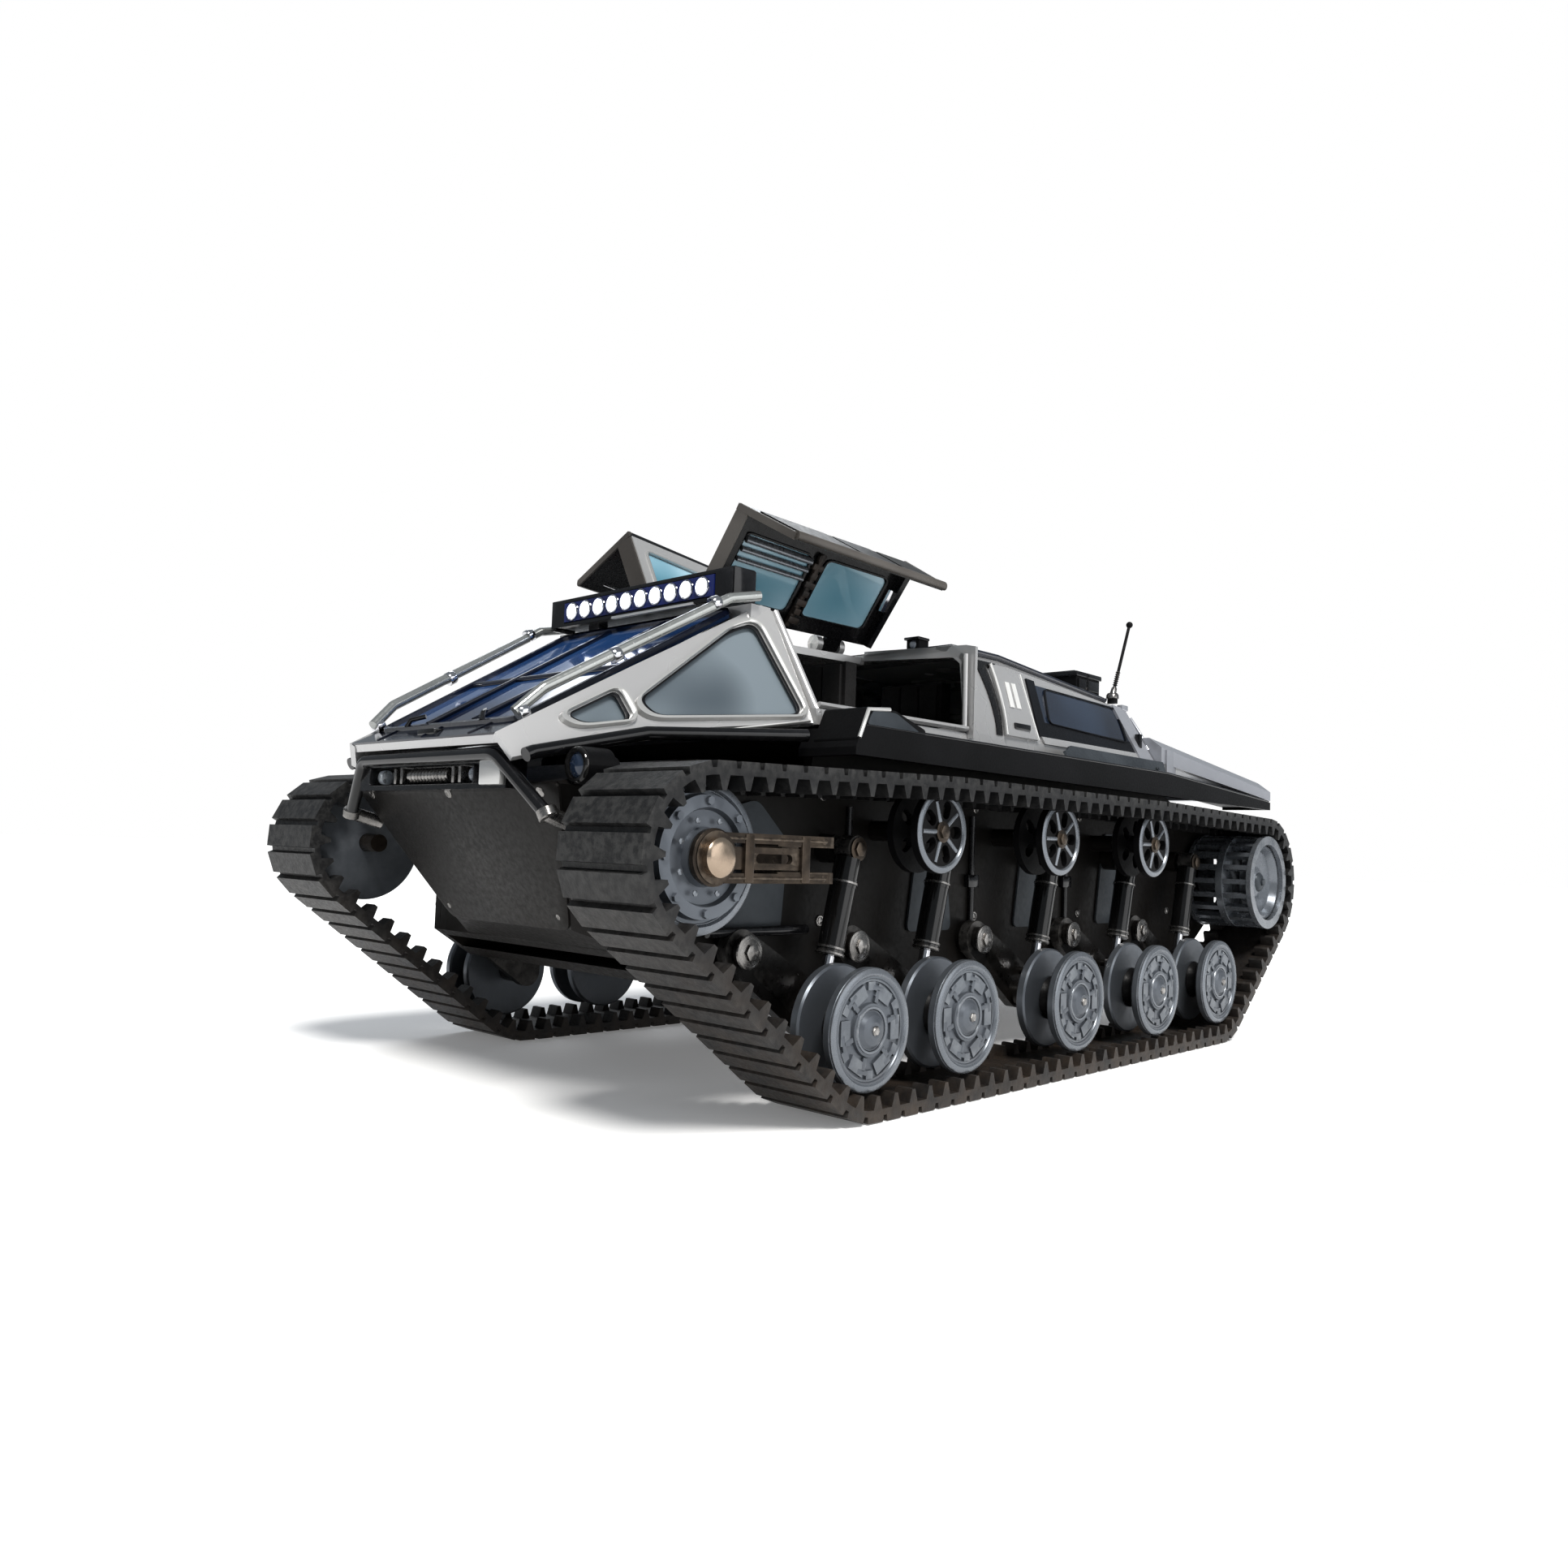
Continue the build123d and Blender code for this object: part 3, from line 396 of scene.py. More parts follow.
def bolt(bm, at, way, radius=1.2, height=0.9, washer=True):
    """Hex head with a chamfered top on a round washer."""
    if washer:
        lathe(bm, at, way, ((0, radius * 1.5), (0.2, radius * 1.5), (0.3, radius * 1.35)), 20)
    lathe(bm, at, way, ((0, radius), (height * 0.8, radius), (height, radius * 0.8)), 6)


def dome(bm, at, way, radius, height, base=0.0):
    """Shallow dome on a short collar."""
    arc = [(base + height * math.sin(a), radius * math.cos(a)) for a in (0.0, 0.35, 0.7, 1.0, 1.25, 1.5)]
    lathe(bm, at, way, [(0, radius)] + arc, 20)


def block(bm, low, high, chamfer=0.4):
    """Box with chamfered edges all round."""
    middle = (Vector(low) + Vector(high)) / 2
    size = Vector(high) - Vector(low)
    place = Matrix.Translation(middle) @ Matrix.Diagonal((*size, 1))
    verts = bmesh.ops.create_cube(bm, size=1.0, matrix=place)["verts"]
    edges = {e for v in verts for e in v.link_edges}
    width = min(chamfer, min(size) * 0.3)
    bmesh.ops.bevel(bm, geom=list(edges), offset=width, segments=2, affect="EDGES", profile=0.6)


def panel(bm, corners, thickness, lift=0.0, corner=0.0):
    """Flat plate on the corners, standing thickness along their normal from lift; corners may be rounded."""
    points = [Vector(p) for p in (rounded(corners, corner) if corner else corners)]
    normal = face_normal(corners)
    loft_rings(bm, [[p + normal * lift for p in points], [p + normal * (lift + thickness) for p in points]])


def skin(bm, outer, holes, thickness, lift=0.0, corner=0.0, hole_corner=0.0):
    """Flat plate on the outer corners with rounded holes cut through it."""
    normal = face_normal(outer)
    edges = []
    for corners, radius in [(outer, corner)] + [(hole, hole_corner) for hole in holes]:
        loop = flattened(rounded(corners, radius) if radius else corners, outer)
        ring = [bm.verts.new(p + normal * lift) for p in loop]
        edges += [bm.edges.new((ring[i - 1], ring[i])) for i in range(len(ring))]
    filled = bmesh.ops.triangle_fill(bm, use_beauty=True, edges=edges, normal=normal)["geom"]
    corners = {v for f in filled if isinstance(f, bmesh.types.BMFace) for v in f.verts}
    bmesh.ops.dissolve_limit(bm, angle_limit=0.01, verts=list(corners), edges=[])
    top = bmesh.ops.extrude_face_region(bm, geom=bm.faces[:])["geom"]
    bmesh.ops.translate(
        bm, vec=normal * thickness, verts=[v for v in top if isinstance(v, bmesh.types.BMVert)]
    )


def rounded(corners, radius, steps=5):
    """The corner points with each corner replaced by an arc-like run."""
    out = []
    for k, p in enumerate(corners):
        p = Vector(p)
        before, after = Vector(corners[k - 1]), Vector(corners[(k + 1) % len(corners)])
        r1 = min(radius, (before - p).length * 0.45)
        r2 = min(radius, (after - p).length * 0.45)
        a, b = p + (before - p).normalized() * r1, p + (after - p).normalized() * r2
        for i in range(steps + 1):
            t = i / steps
            out.append(a * (1 - t) ** 2 + p * 2 * t * (1 - t) + b * t**2)
    return out


def grown(corners, amount):
    """The corners moved out from their middle by a distance."""
    middle = sum((Vector(p) for p in corners), Vector()) / len(corners)
    return [Vector(p) + (Vector(p) - middle).normalized() * amount for p in corners]


def bar(bm, points, radius, closed=False, count=12, flat=1.0):
    """Round bar through the points, or an oval one when flat is under 1."""
    points = [Vector(p) for p in points]
    total = len(points)
    rings = []
    side = None
    for i, p in enumerate(points):
        before = points[i - 1] if i or closed else p
        after = points[(i + 1) % total] if i < total - 1 or closed else p
        way = (after - before).normalized()
        side = (side - way * side.dot(way)).normalized() if side else way.orthogonal().normalized()
        across = way.cross(side)
        angles = (2 * math.pi * k / count for k in range(count))
        rings.append([p + (side * math.cos(a) + across * math.sin(a) * flat) * radius for a in angles])
    if closed:
        loft_rings(bm, rings + [rings[0]], False)
        bmesh.ops.remove_doubles(bm, verts=bm.verts, dist=1e-5)
    else:
        loft_rings(bm, rings)


def rim(bm, corners, corner, width, height, lift=0.0):
    """Raised frame round an opening: a chamfered band between the corners and the corners grown by width."""
    normal = face_normal(corners)
    section = ((0, 0), (0, height * 0.8), (width * 0.2, height), (width * 0.75, height), (width, 0))
    rings = []
    for out, up in section:
        outline = rounded(grown(corners, out), corner + out)
        rings.append([p + normal * (lift + up) for p in outline])
    loft_rings(bm, rings + [rings[0]], False)
    bmesh.ops.remove_doubles(bm, verts=bm.verts, dist=1e-5)


def piece(name, body, finish, draw, side=1, smooth=40, turn=None):
    """One riding object: draw fills a bmesh in mm for the left side, then turn, then side -1 mirrors it."""
    bm = bmesh.new()
    draw(bm)
    if turn:
        bm.transform(turn)
    if side < 0:
        bm.transform(Matrix.Diagonal((-1, 1, 1, 1)))
    bm.transform(Matrix.Scale(MM, 4))
    bmesh.ops.recalc_face_normals(bm, faces=bm.faces)
    mesh = bpy.data.meshes.new(name)
    bm.to_mesh(mesh)
    bm.free()
    mesh.materials.append(M[finish])
    obj = bpy.data.objects.new(name, mesh)
    bpy.context.scene.collection.objects.link(obj)
    mesh.shade_smooth()
    mesh.set_sharp_from_angle(angle=math.radians(smooth))
    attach(obj, body)


def pair(name, finish, draw, body="hull", smooth=40):
    """The same piece on both sides of the hull."""
    for side, sign in SIDES:
        piece(f"{name}_{side}", body, finish, draw, sign, smooth)


# ---------------------------------------------------------------- running gear
for side, sign in SIDES:
    for n, y in enumerate(WHEELS_Y, 1):
        hub = (y, WHEEL_Z)
        pivot = (PIVOT_X, y + PIVOT_OFFSET[0], WHEEL_Z + PIVOT_OFFSET[1])
        tag = f"{side}_{n}"

        def wheel_face(bm):
            lathe(
                bm, (WHEEL_FACE_X, *hub), OUT, ((0.0, 9.8), (0.35, 9.7), (0.35, 9.2), (0.0, 9.1)), 40, 9.1,
            )
            for k in range(6):
                a = 2 * math.pi * k / 6 + 0.26
                spot = Vector((WHEEL_FACE_X, y + 6.9 * math.cos(a), WHEEL_Z + 6.9 * math.sin(a)))
                turned = Matrix.Translation(spot) @ Matrix.Rotation(a, 4, "X")
                rib_bm = bmesh.new()
                block(rib_bm, (0.0, -1.7, -0.5), (0.5, 0.9, 0.5), 0.15)
                block(rib_bm, (0.0, 0.5, -1.6), (0.5, 1.5, 1.6), 0.15)
                rib_bm.transform(turned)
                rib = bpy.data.meshes.new("rib")
                rib_bm.to_mesh(rib)
                bm.from_mesh(rib)
                rib_bm.free()
                bpy.data.meshes.remove(rib)

        piece(f"wheel_ribs_{tag}", f"road_wheel_{tag}", "wheel", wheel_face, sign)

        def wheel_rim(bm):
            lathe(
                bm, (65.5, *hub), OUT,
                ((0.0, 11.7), (0.45, 11.6), (0.75, 11.2), (0.75, 10.4), (0.4, 10.0), (0.0, 9.95)), 48, 9.9,
            )

        piece(f"wheel_rim_{tag}", f"road_wheel_{tag}", "wheel_pale", wheel_rim, sign)

        def wheel_cap(bm):
            lathe(bm, (HUB_FACE_X, *hub), OUT, ((0.0, 3.3), (0.3, 3.2), (0.6, 2.6), (0.6, 2.2)), 32, 1.9)
            lathe(bm, (HUB_FACE_X, *hub), OUT, ((0.0, 4.5), (0.2, 4.4), (0.2, 4.0), (0.0, 3.9)), 40, 3.8)

        piece(f"wheel_cap_{tag}", f"road_wheel_{tag}", "wheel_pale", wheel_cap, sign)

        def wheel_bolt(bm):
            dome(bm, (HUB_FACE_X, *hub), OUT, 2.0, 0.6)
            bolt(bm, (66.4, *hub), OUT, 1.0, 1.0, False)

        piece(f"wheel_bolt_{tag}", f"road_wheel_{tag}", "steel", wheel_bolt, sign)

        def tyre_groove(bm):
            lathe(bm, (58.2, *hub), OUT, ((0.0, 5.2), (1.2, 4.2), (4.0, 4.2), (5.2, 5.2)), 28)

        piece(f"wheel_waist_{tag}", f"road_wheel_{tag}", "plastic", tyre_groove, sign)

        def pivot_cap(bm):
            bolt(bm, pivot, OUT, 1.7, 1.1)
            lathe(bm, (50.6, *pivot[1:]), OUT, ((0.0, 3.3), (0.4, 3.3), (0.6, 3.0)), 28, 2.3)

        piece(f"pivot_bolt_{tag}", "hull", "steel", pivot_cap, sign)

        def arm_trim(bm):
            a = Vector((48.7, y + PIVOT_OFFSET[0], WHEEL_Z + PIVOT_OFFSET[1]))
            b = Vector((48.7, y, WHEEL_Z))
            along = (b - a).normalized()
            across = Vector((0, -along.z, along.y))
            start, stop = a + along * 5.2, b - along * 3.6
            panel(
                bm, [start + across * 1.6, stop + across * 1.3, stop - across * 1.3, start - across * 1.6],
                0.5, 0.0, 0.6,
            )

        piece(f"arm_web_{tag}", f"swing_arm_{tag}", "arm", arm_trim, sign)

        def eye_bolts(bm):
            bolt(bm, (54.3, y + UPPER_EYE[0], WHEEL_Z + UPPER_EYE[1]), OUT, 1.6, 1.0)

        piece(f"shock_top_bolt_{tag}", "hull", "bronze", eye_bolts, sign)

        def eye_cap(bm):
            bolt(bm, (54.1, y + LOWER_EYE[0], WHEEL_Z + LOWER_EYE[1]), OUT, 1.1, 0.7)

        piece(f"shock_foot_bolt_{tag}", f"swing_arm_{tag}", "steel", eye_cap, sign)

        low = Vector((SHOCK_X, y + LOWER_EYE[0], WHEEL_Z + LOWER_EYE[1]))
        high = Vector((SHOCK_X, y + UPPER_EYE[0], WHEEL_Z + UPPER_EYE[1]))
        up = (high - low).normalized()

        def shock_rings(bm):
            for start in (7.5, 8.6, 22.0):
                lathe(bm, low + up * start, up, ((0.0, 2.75), (0.1, 3.0), (0.5, 3.0), (0.6, 2.75)), 28)

        piece(f"shock_rings_{tag}", "hull", "steel", shock_rings, sign)

    for n, spot in enumerate(ROLLERS, 1):
        body = f"return_roller_{side}_{n}"

        def roller_star(bm):
            for k in range(5):
                a = 2 * math.pi * (k + 0.5) / 5
                tip = Vector((62.7, spot[0] + 6.6 * math.cos(a), spot[1] + 6.6 * math.sin(a)))
                foot = Vector((62.9, spot[0] + 1.5 * math.cos(a), spot[1] + 1.5 * math.sin(a)))
                bar(bm, [foot, (foot + tip) / 2, tip], 0.55)

        piece(f"roller_star_{side}_{n}", body, "wheel_pale", roller_star, sign)

        def roller_rim(bm):
            lathe(
                bm, (ROLLER_FACE_X, *spot), OUT,
                ((0.0, 8.65), (0.5, 8.6), (0.8, 8.2), (0.8, 7.4), (0.4, 7.1), (0.0, 7.0)), 44, 6.95,
            )
            lathe(bm, (55.0, *spot), OUT, ((0.0, 8.3), (0.3, 8.65), (0.6, 8.65)), 44, 7.2)

        piece(f"roller_rim_{side}_{n}", body, "wheel_pale", roller_rim, sign)
        piece(
            f"roller_bolt_{side}_{n}", "hull", "bronze", lambda bm: bolt(bm, (63.2, *spot), OUT, 1.5, 1.0),
            sign,
        )

    def idler_face(bm):
        for k in range(8):
            a = 2 * math.pi * (k + 0.5) / 8
            bolt(
                bm, (65.1, IDLER[0] + 6.4 * math.cos(a), IDLER[1] + 6.4 * math.sin(a)), OUT, 0.55, 0.3,
                False,
            )
        lathe(
            bm, (63.0, *IDLER), OUT, ((0.0, 13.0), (0.5, 12.9), (0.8, 12.4), (0.8, 11.6), (0.3, 11.2)), 56,
            11.1,
        )

    piece(f"idler_trim_{side}", f"front_idler_{side}", "wheel_pale", idler_face, sign)

    def sprocket_face(bm):
        lathe(
            bm, (62.0, *SPROCKET), OUT,
            ((0.0, 10.6), (2.4, 11.2), (3.4, 11.3), (3.6, 10.9), (3.6, 10.3), (1.6, 9.4), (0.6, 5.0)), 44,
            4.7,
        )

    piece(
        f"sprocket_dish_{side}", f"drive_sprocket_{side}", "wheel_pale", sprocket_face, sign,
    )

    def sprocket_cap(bm):
        dome(bm, (63.6, *SPROCKET), OUT, 3.1, 1.4)
        bolt(bm, (64.6, *SPROCKET), OUT, 1.2, 0.9, False)

    piece(
        f"sprocket_cap_{side}", f"drive_sprocket_{side}", "plate_grey", sprocket_cap, sign,
    )


def tensioner_detail(bm):
    for z in (-3.3, 3.3):
        bar(bm, [(67.2, -116.5, IDLER[1] + z), (67.2, -92.0, IDLER[1] + z)], 0.3)
    for y in (-111.5, -97.5):
        block(bm, (66.4, y - 1.1, IDLER[1] - 4.1), (67.5, y + 1.1, IDLER[1] + 4.1), 0.3)
    for z in (-3.3, 3.3):
        bolt(bm, (67.0, -92.6, IDLER[1] + z), OUT, 0.6, 0.4, False)


pair("tensioner_screw", "bronze", tensioner_detail)
pair(
    "idler_washer", "bronze",
    lambda bm: lathe(bm, (IDLER_END_X, *IDLER), OUT, ((0.0, 4.8), (0.9, 4.8), (1.2, 4.4)), 32),
)
pair(
    "idler_nut", "pale_bronze",
    lambda bm: lathe(bm, (67.1, *IDLER), OUT, ((0.0, 3.3), (1.5, 3.3), (1.9, 2.9), (2.1, 2.0)), 28),
)

# ---------------------------------------------------------------- hull sides and front
def front_side_plate(bm):
    outline = ((-96.0, 34.0), (-80.5, 34.0), (-79.0, 52.0), (-88.0, 60.0), (-96.0, 58.0))
    panel(bm, [(45.0, y, z) for y, z in outline], 0.6, 0.0, 2.0)


pair("side_plate_front", "plate_grey", front_side_plate)


def side_plates(bm):
    for y in (-30.0, 14.0, 56.0):
        outline = ((y - 9.0, 33.0), (y + 8.0, 33.0), (y + 4.0, 58.0), (y - 5.0, 58.0))
        panel(bm, [(44.9, *point) for point in outline], 0.5, 0.0, 2.0)


pair("side_plates", "plate_grey", side_plates)


def side_tubes(bm):
    bar(bm, [(47.4, -102.0, 34.6), (47.4, -75.0, 34.6)], 1.0)
    for y in (-60.0, -14.0, 30.0, 66.0):
        bar(bm, [(45.4, y, 31.0), (45.4, y, 60.0)], 0.7)
        block(bm, (44.8, y - 2.2, 43.0), (46.2, y + 2.2, 46.0), 0.3)


pair("side_tubes", "black", side_tubes)


def hull_bolts(bm):
    for y in (-90.0, -68.0, -32.0, -12.0, 22.0, 38.0, 64.0, 92.0):
        for z in (36.0, 62.0):
            bolt(bm, (HULL_X, y, z), OUT, 0.8, 0.5)


pair("hull_bolts", "steel", hull_bolts)

GLACIS = ((-37.0, -128.6, 61.0), (37.0, -128.6, 61.0), (21.0, -113.0, 33.5), (-21.0, -113.0, 33.5))
GLACIS_OUT = -face_normal(GLACIS)


def front_plate(bm):
    points = [Vector(p) + GLACIS_OUT * 0.05 for p in rounded(GLACIS, 2.5)]
    top = [p + GLACIS_OUT * 0.5 for p in points]
    middle = sum(top, Vector()) / len(top)
    inner = [p + (middle - p) * 0.03 + GLACIS_OUT * 0.3 for p in top]
    loft_rings(bm, [points, top, inner])


piece("front_plate_skin", "hull", "hull", front_plate, smooth=30)


def front_bolts(bm):
    top, foot = (-128.0, 59.5), (-114.6, 36.3)
    for x, row in ((33.0, top), (-33.0, top), (21.0, foot), (-21.0, foot), (0.0, top)):
        bolt(bm, Vector((x * 0.94, *row)) + GLACIS_OUT * 0.5, GLACIS_OUT, 0.7, 0.4)


piece("front_bolts", "hull", "steel", front_bolts)

# ---------------------------------------------------------------- bumper box, lamps
BUMPER_MOUTH = [(x, -133.2, z) for x, z in ((-22.0, 60.6), (17.0, 60.6), (17.0, 64.2), (-22.0, 64.2))]
piece("bumper_box_frame", "hull", "black", lambda bm: rim(bm, BUMPER_MOUTH, 0.6, 0.7, 0.6))
piece(
    "bumper_end_block", "hull", "silver_edge",
    lambda bm: block(bm, (19.6, -134.2, 60.2), (26.4, -133.1, 65.2), 0.4),
)


def bumper_clamps(bm):
    for sign in (1, -1):
        bar(
            bm, [(sign * 36.0, -130.6, 55.4), (sign * 35.9, -128.4, 54.6), (sign * 35.4, -123.8, 53.4)],
            1.5,
        )
        lathe(
            bm, (sign * 36.0, -130.3, 55.2), (-0.45 * sign, -0.14, 0.85),
            ((-1.0, 1.7), (-0.8, 1.9), (0.8, 1.9), (1.0, 1.7)), 20,
        )


piece("bumper_clamps", "hull", "steel", bumper_clamps)


def bumper_lamps(bm):
    for x in (-20.0, 14.6):
        lathe(bm, (x, -130.6, 62.4), FORWARD, ((0.0, 1.5), (1.4, 1.5), (1.9, 1.2), (2.1, 0.7)), 20)


piece("bumper_lamps", "hull", "clear", bumper_lamps)


def winch(bm):
    bar(bm, [(-9.0, -131.4, 62.4), (6.0, -131.4, 62.4)], 1.3)
    for k in range(11):
        lathe(bm, (-8.0 + 1.25 * k, -131.4, 62.4), OUT, ((0.0, 1.3), (0.3, 1.6), (0.6, 1.3)), 16)
    for x in (-13.5, -11.0, 8.4, 10.8):
        block(bm, (x - 0.5, -132.8, 60.8), (x + 0.5, -130.6, 64.0), 0.2)


piece("bumper_winch", "hull", "steel", winch)
pair(
    "headlight_bezel", "shock",
    lambda bm: lathe(
        bm, (38.2, -125.8, 64.0), FORWARD, ((0.0, 3.35), (0.5, 3.3), (0.8, 3.0), (0.8, 2.6)), 36, 2.5,
    ),
)
pair(
    "headlight_lens", "dark_glass", lambda bm: dome(bm, (38.2, -125.7, 64.0), FORWARD, 2.5, 0.9),
)


def headlight_bracket(bm):
    bar(bm, [(38.2, -121.0, 61.0), (38.6, -120.6, 58.8), (38.2, -119.5, 57.4)], 0.8)


pair("headlight_bracket", "black", headlight_bracket)

# ---------------------------------------------------------------- windows and body trim
PANEL_OUT = face_normal(PANEL)
for label, corners, corner in (("rear", REAR_QUARTER, 2.0), ("front", FRONT_QUARTER, 1.2)):
    flat = flattened(corners, PANEL)
    pair(
        f"quarter_trim_{label}", "silver_edge",
        lambda bm: rim(bm, grown(flat, 0.3), corner + 0.8, 1.9, 1.1),
    )
    pair(
        f"quarter_seal_{label}", "seal",
        lambda bm: rim(bm, grown(flat, -0.9), corner + 0.3, 1.3, 0.25, -0.3),
    )
    pair(
        f"quarter_pane_{label}", "grey_glass_painted_reflection",
        lambda bm: panel(bm, [p - PANEL_OUT * 1.5 for p in flat], 0.5, 0.0, corner)
    )


def panel_border(bm):
    bar(bm, flattened([(31.6, -130.6, 66.8), (45.2, -73.6, 76.6)], PANEL), 0.5, flat=0.5)


pair("panel_lower_bead", "silver_edge", panel_border)
pair("side_window_trim", "seal", lambda bm: rim(bm, SIDE_WINDOW, 1.5, 1.3, 0.7, 0.2))


def windshield_frame(bm):
    rim(bm, grown(WINDSHIELD, -1.2), 2.0, 2.4, 1.0, 0.0)
    for x in (-8.5, 8.5):
        bar(bm, [(x, -129.0, 72.9), (x * 1.15, -83.0, 99.3)], 0.9, flat=0.6)
    bar(bm, [(-26.5, -108.0, 85.0), (26.5, -108.0, 85.0)], 0.8, flat=0.6)


piece("windshield_frame", "hull", "hood", windshield_frame)


def hood_skin(bm):
    corners = [(-27.0, -135.6, 68.95), (27.0, -135.6, 68.95), (27.9, -130.3, 71.65), (-27.9, -130.3, 71.65)]
    skin(bm, corners, [], 0.4, 0.05, 0.8)
    for x in (-17.0, 0.0, 17.0):
        bar(bm, [(x, -135.2, 69.6), (x * 1.03, -130.8, 71.9)], 0.35, flat=0.6)


piece("hood_skin", "hull", "hood", hood_skin)


def hood_latch(bm):
    block(bm, (-3.2, -134.2, 70.0), (3.2, -131.6, 71.4), 0.4)
    bar(bm, [(-14.0, -130.6, 72.6), (-13.4, -130.0, 74.2), (-11.0, -128.0, 75.0)], 0.5)
    bar(bm, [(14.0, -130.6, 72.6), (13.4, -130.0, 74.2), (11.0, -128.0, 75.0)], 0.5)


piece("hood_latches", "hull", "black", hood_latch)


def rail_feet(bm):
    for point in ((26.6, -130.2, 73.6), (29.6, -112.0, 86.4), (32.8, -89.6, 100.0)):
        lathe(bm, Vector(point), (0.1, 0.82, 0.5), ((-1.0, 1.35), (-0.8, 1.5), (0.8, 1.5), (1.0, 1.35)), 20)


pair("rail_clamps", "chrome", rail_feet)


# rear cabin: doorway ring, curved slot, badge panel, window band, rear post
def doorway_ring(bm):
    ring = [
        (48.3, 78.4), (48.3, 100.4), (45.6, 101.0), (14.0, 102.2), (14.0, 99.8), (43.4, 98.2),
        (44.4, 97.2), (45.0, 82.0), (44.2, 81.2), (33.0, 81.2), (33.0, 78.4),
    ]
    skin(bm, [(x, -19.1, z) for x, z in ring], [], -1.0, -0.1)
    bar(bm, [(46.6, -20.2, 80.6), (46.4, -20.2, 98.6)], 0.6, flat=0.8)
    bar(bm, [(46.2, -72.0, 80.4), (46.7, -19.4, 80.6)], 0.8, flat=0.7)
    bar(bm, [(34.2, -73.6, 100.8), (46.0, -72.0, 78.6)], 0.9, flat=0.7)


pair("doorway_ring", "silver", doorway_ring)
SHOULDERS = ((-19.0, 45.6, 98.2), (4.0, 42.8, 98.8), (76.0, 37.0, 96.6))


def on_side(y, share, lift=0.0):
    """Point on the cabin's side wall, share of the way up from its foot."""
    (y0, x0, z0), (y1, x1, z1) = SHOULDERS[:2] if y < SHOULDERS[1][0] else SHOULDERS[1:]
    t = (y - y0) / (y1 - y0)
    foot, top = Vector((47.0, y, 80.0)), Vector((x0 + (x1 - x0) * t, y, z0 + (z1 - z0) * t))
    out = Vector((top.z - foot.z, 0, foot.x - top.x)).normalized()
    return foot + (top - foot) * share + out * lift


def side_strip(bm, front, back, thickness, rows=8):
    """Strip on the side wall between two edges of ((y, share) foot, (y, share) top), bend in y."""
    rings = []
    for k in range(rows + 1):
        t = k / rows
        a, b = (
            (foot[0] * (1 - t) + top[0] * t + bend * (1 - (2 * t - 1) ** 2), foot[1] * (1 - t) + top[1] * t)
            for (foot, top), bend in (front, back)
        )
        rings.append([on_side(*a, 0.02), on_side(*b, 0.02), on_side(*b, thickness), on_side(*a, thickness)])
    loft_rings(bm, rings)


def slot_panel(bm):
    side_strip(bm, (((-7.0, 0.02), (-14.5, 0.93)), 2.2), (((-4.6, 0.02), (-10.0, 0.97)), 2.2), 0.3)
    side_strip(bm, (((-16.0, 0.9), (-16.0, 0.99)), 0.0), (((-6.0, 0.92), (-4.0, 1.0)), 0.0), 0.3)


def badge_panel(bm):
    side_strip(bm, (((-3.6, 0.03), (-8.0, 0.97)), 1.6), (((11.6, 0.03), (8.0, 0.93)), 0.6), 0.9)
    side_strip(bm, (((15.0, 0.0), (14.0, 0.1)), 0.0), (((70.0, 0.0), (70.0, 0.12)), 0.0), 0.5)


def panel_edges(bm):
    steps = (0, 0.2, 0.4, 0.6, 0.8, 1.0)
    front = [on_side(-3.6 - 4.4 * t + 1.6 * (1 - (2 * t - 1) ** 2), 0.03 + 0.94 * t, 0.9) for t in steps]
    back = [on_side(11.4 - 3.4 * t, 0.03 + 0.9 * t, 0.8) for t in (0, 0.25, 0.5, 0.75, 1.0)]
    bar(bm, front, 0.5, flat=0.7)
    bar(bm, back, 0.45, flat=0.7)


pair("cab_slot", "door_dark", slot_panel)
pair("cab_badge_panel", "silver", badge_panel)
pair("cab_panel_edges", "silver_edge", panel_edges)


def badge(bm):
    for start in (0.0, 3.4):
        corners = ((-0.4, 0.42), (1.8, 0.42), (0.6, 0.76), (-1.6, 0.76))
        panel(bm, [on_side(y + start, share, 1.0) for y, share in corners], 0.15)


pair("badge_stripes", "white", badge)


def window_band(bm):
    side_strip(bm, (((13.2, 0.1), (12.2, 0.92)), 0.0), (((17.4, 0.1), (16.6, 0.92)), 0.0), 0.5)
    side_strip(bm, (((16.0, 0.1), (16.0, 0.32)), 0.0), (((67.0, 0.12), (67.5, 0.32)), 0.0), 0.45)


def window_skin(bm):
    side_strip(bm, (((17.0, 0.3), (16.6, 0.86)), 0.0), (((67.2, 0.3), (66.0, 0.95)), 0.0), 0.4)


pair("cab_window_band", "seal", window_band)
pair("cab_window_skin", "dark_glass", window_skin)


def handles(bm):
    block(bm, (46.6, 0.4, 82.6), (47.7, 7.6, 84.2), 0.3)
    block(bm, (44.2, 70.6, 84.0), (45.9, 72.2, 88.2), 0.25)


pair("cab_handles", "black", handles)


def rear_post(bm):
    side_strip(bm, (((67.6, 0.0), (66.6, 0.97)), 0.0), (((76.0, 0.0), (75.6, 0.97)), 0.0), 1.0)
    block(bm, (37.0, 73.0, 95.8), (39.0, 76.6, 97.6), 0.4)
    bar(bm, [on_side(76.4, 0.2, 0.9), on_side(77.4, 0.5, 0.9), on_side(76.4, 0.8, 0.9)], 0.5)


pair("cab_rear_post", "deck", rear_post)


def roof_edge(bm):
    bar(bm, [(44.6, -18.0, 100.0), (39.8, 3.0, 101.6), (34.6, 70.0, 98.6)], 0.9, flat=0.6)


pair("cab_roof_edge", "hood", roof_edge)


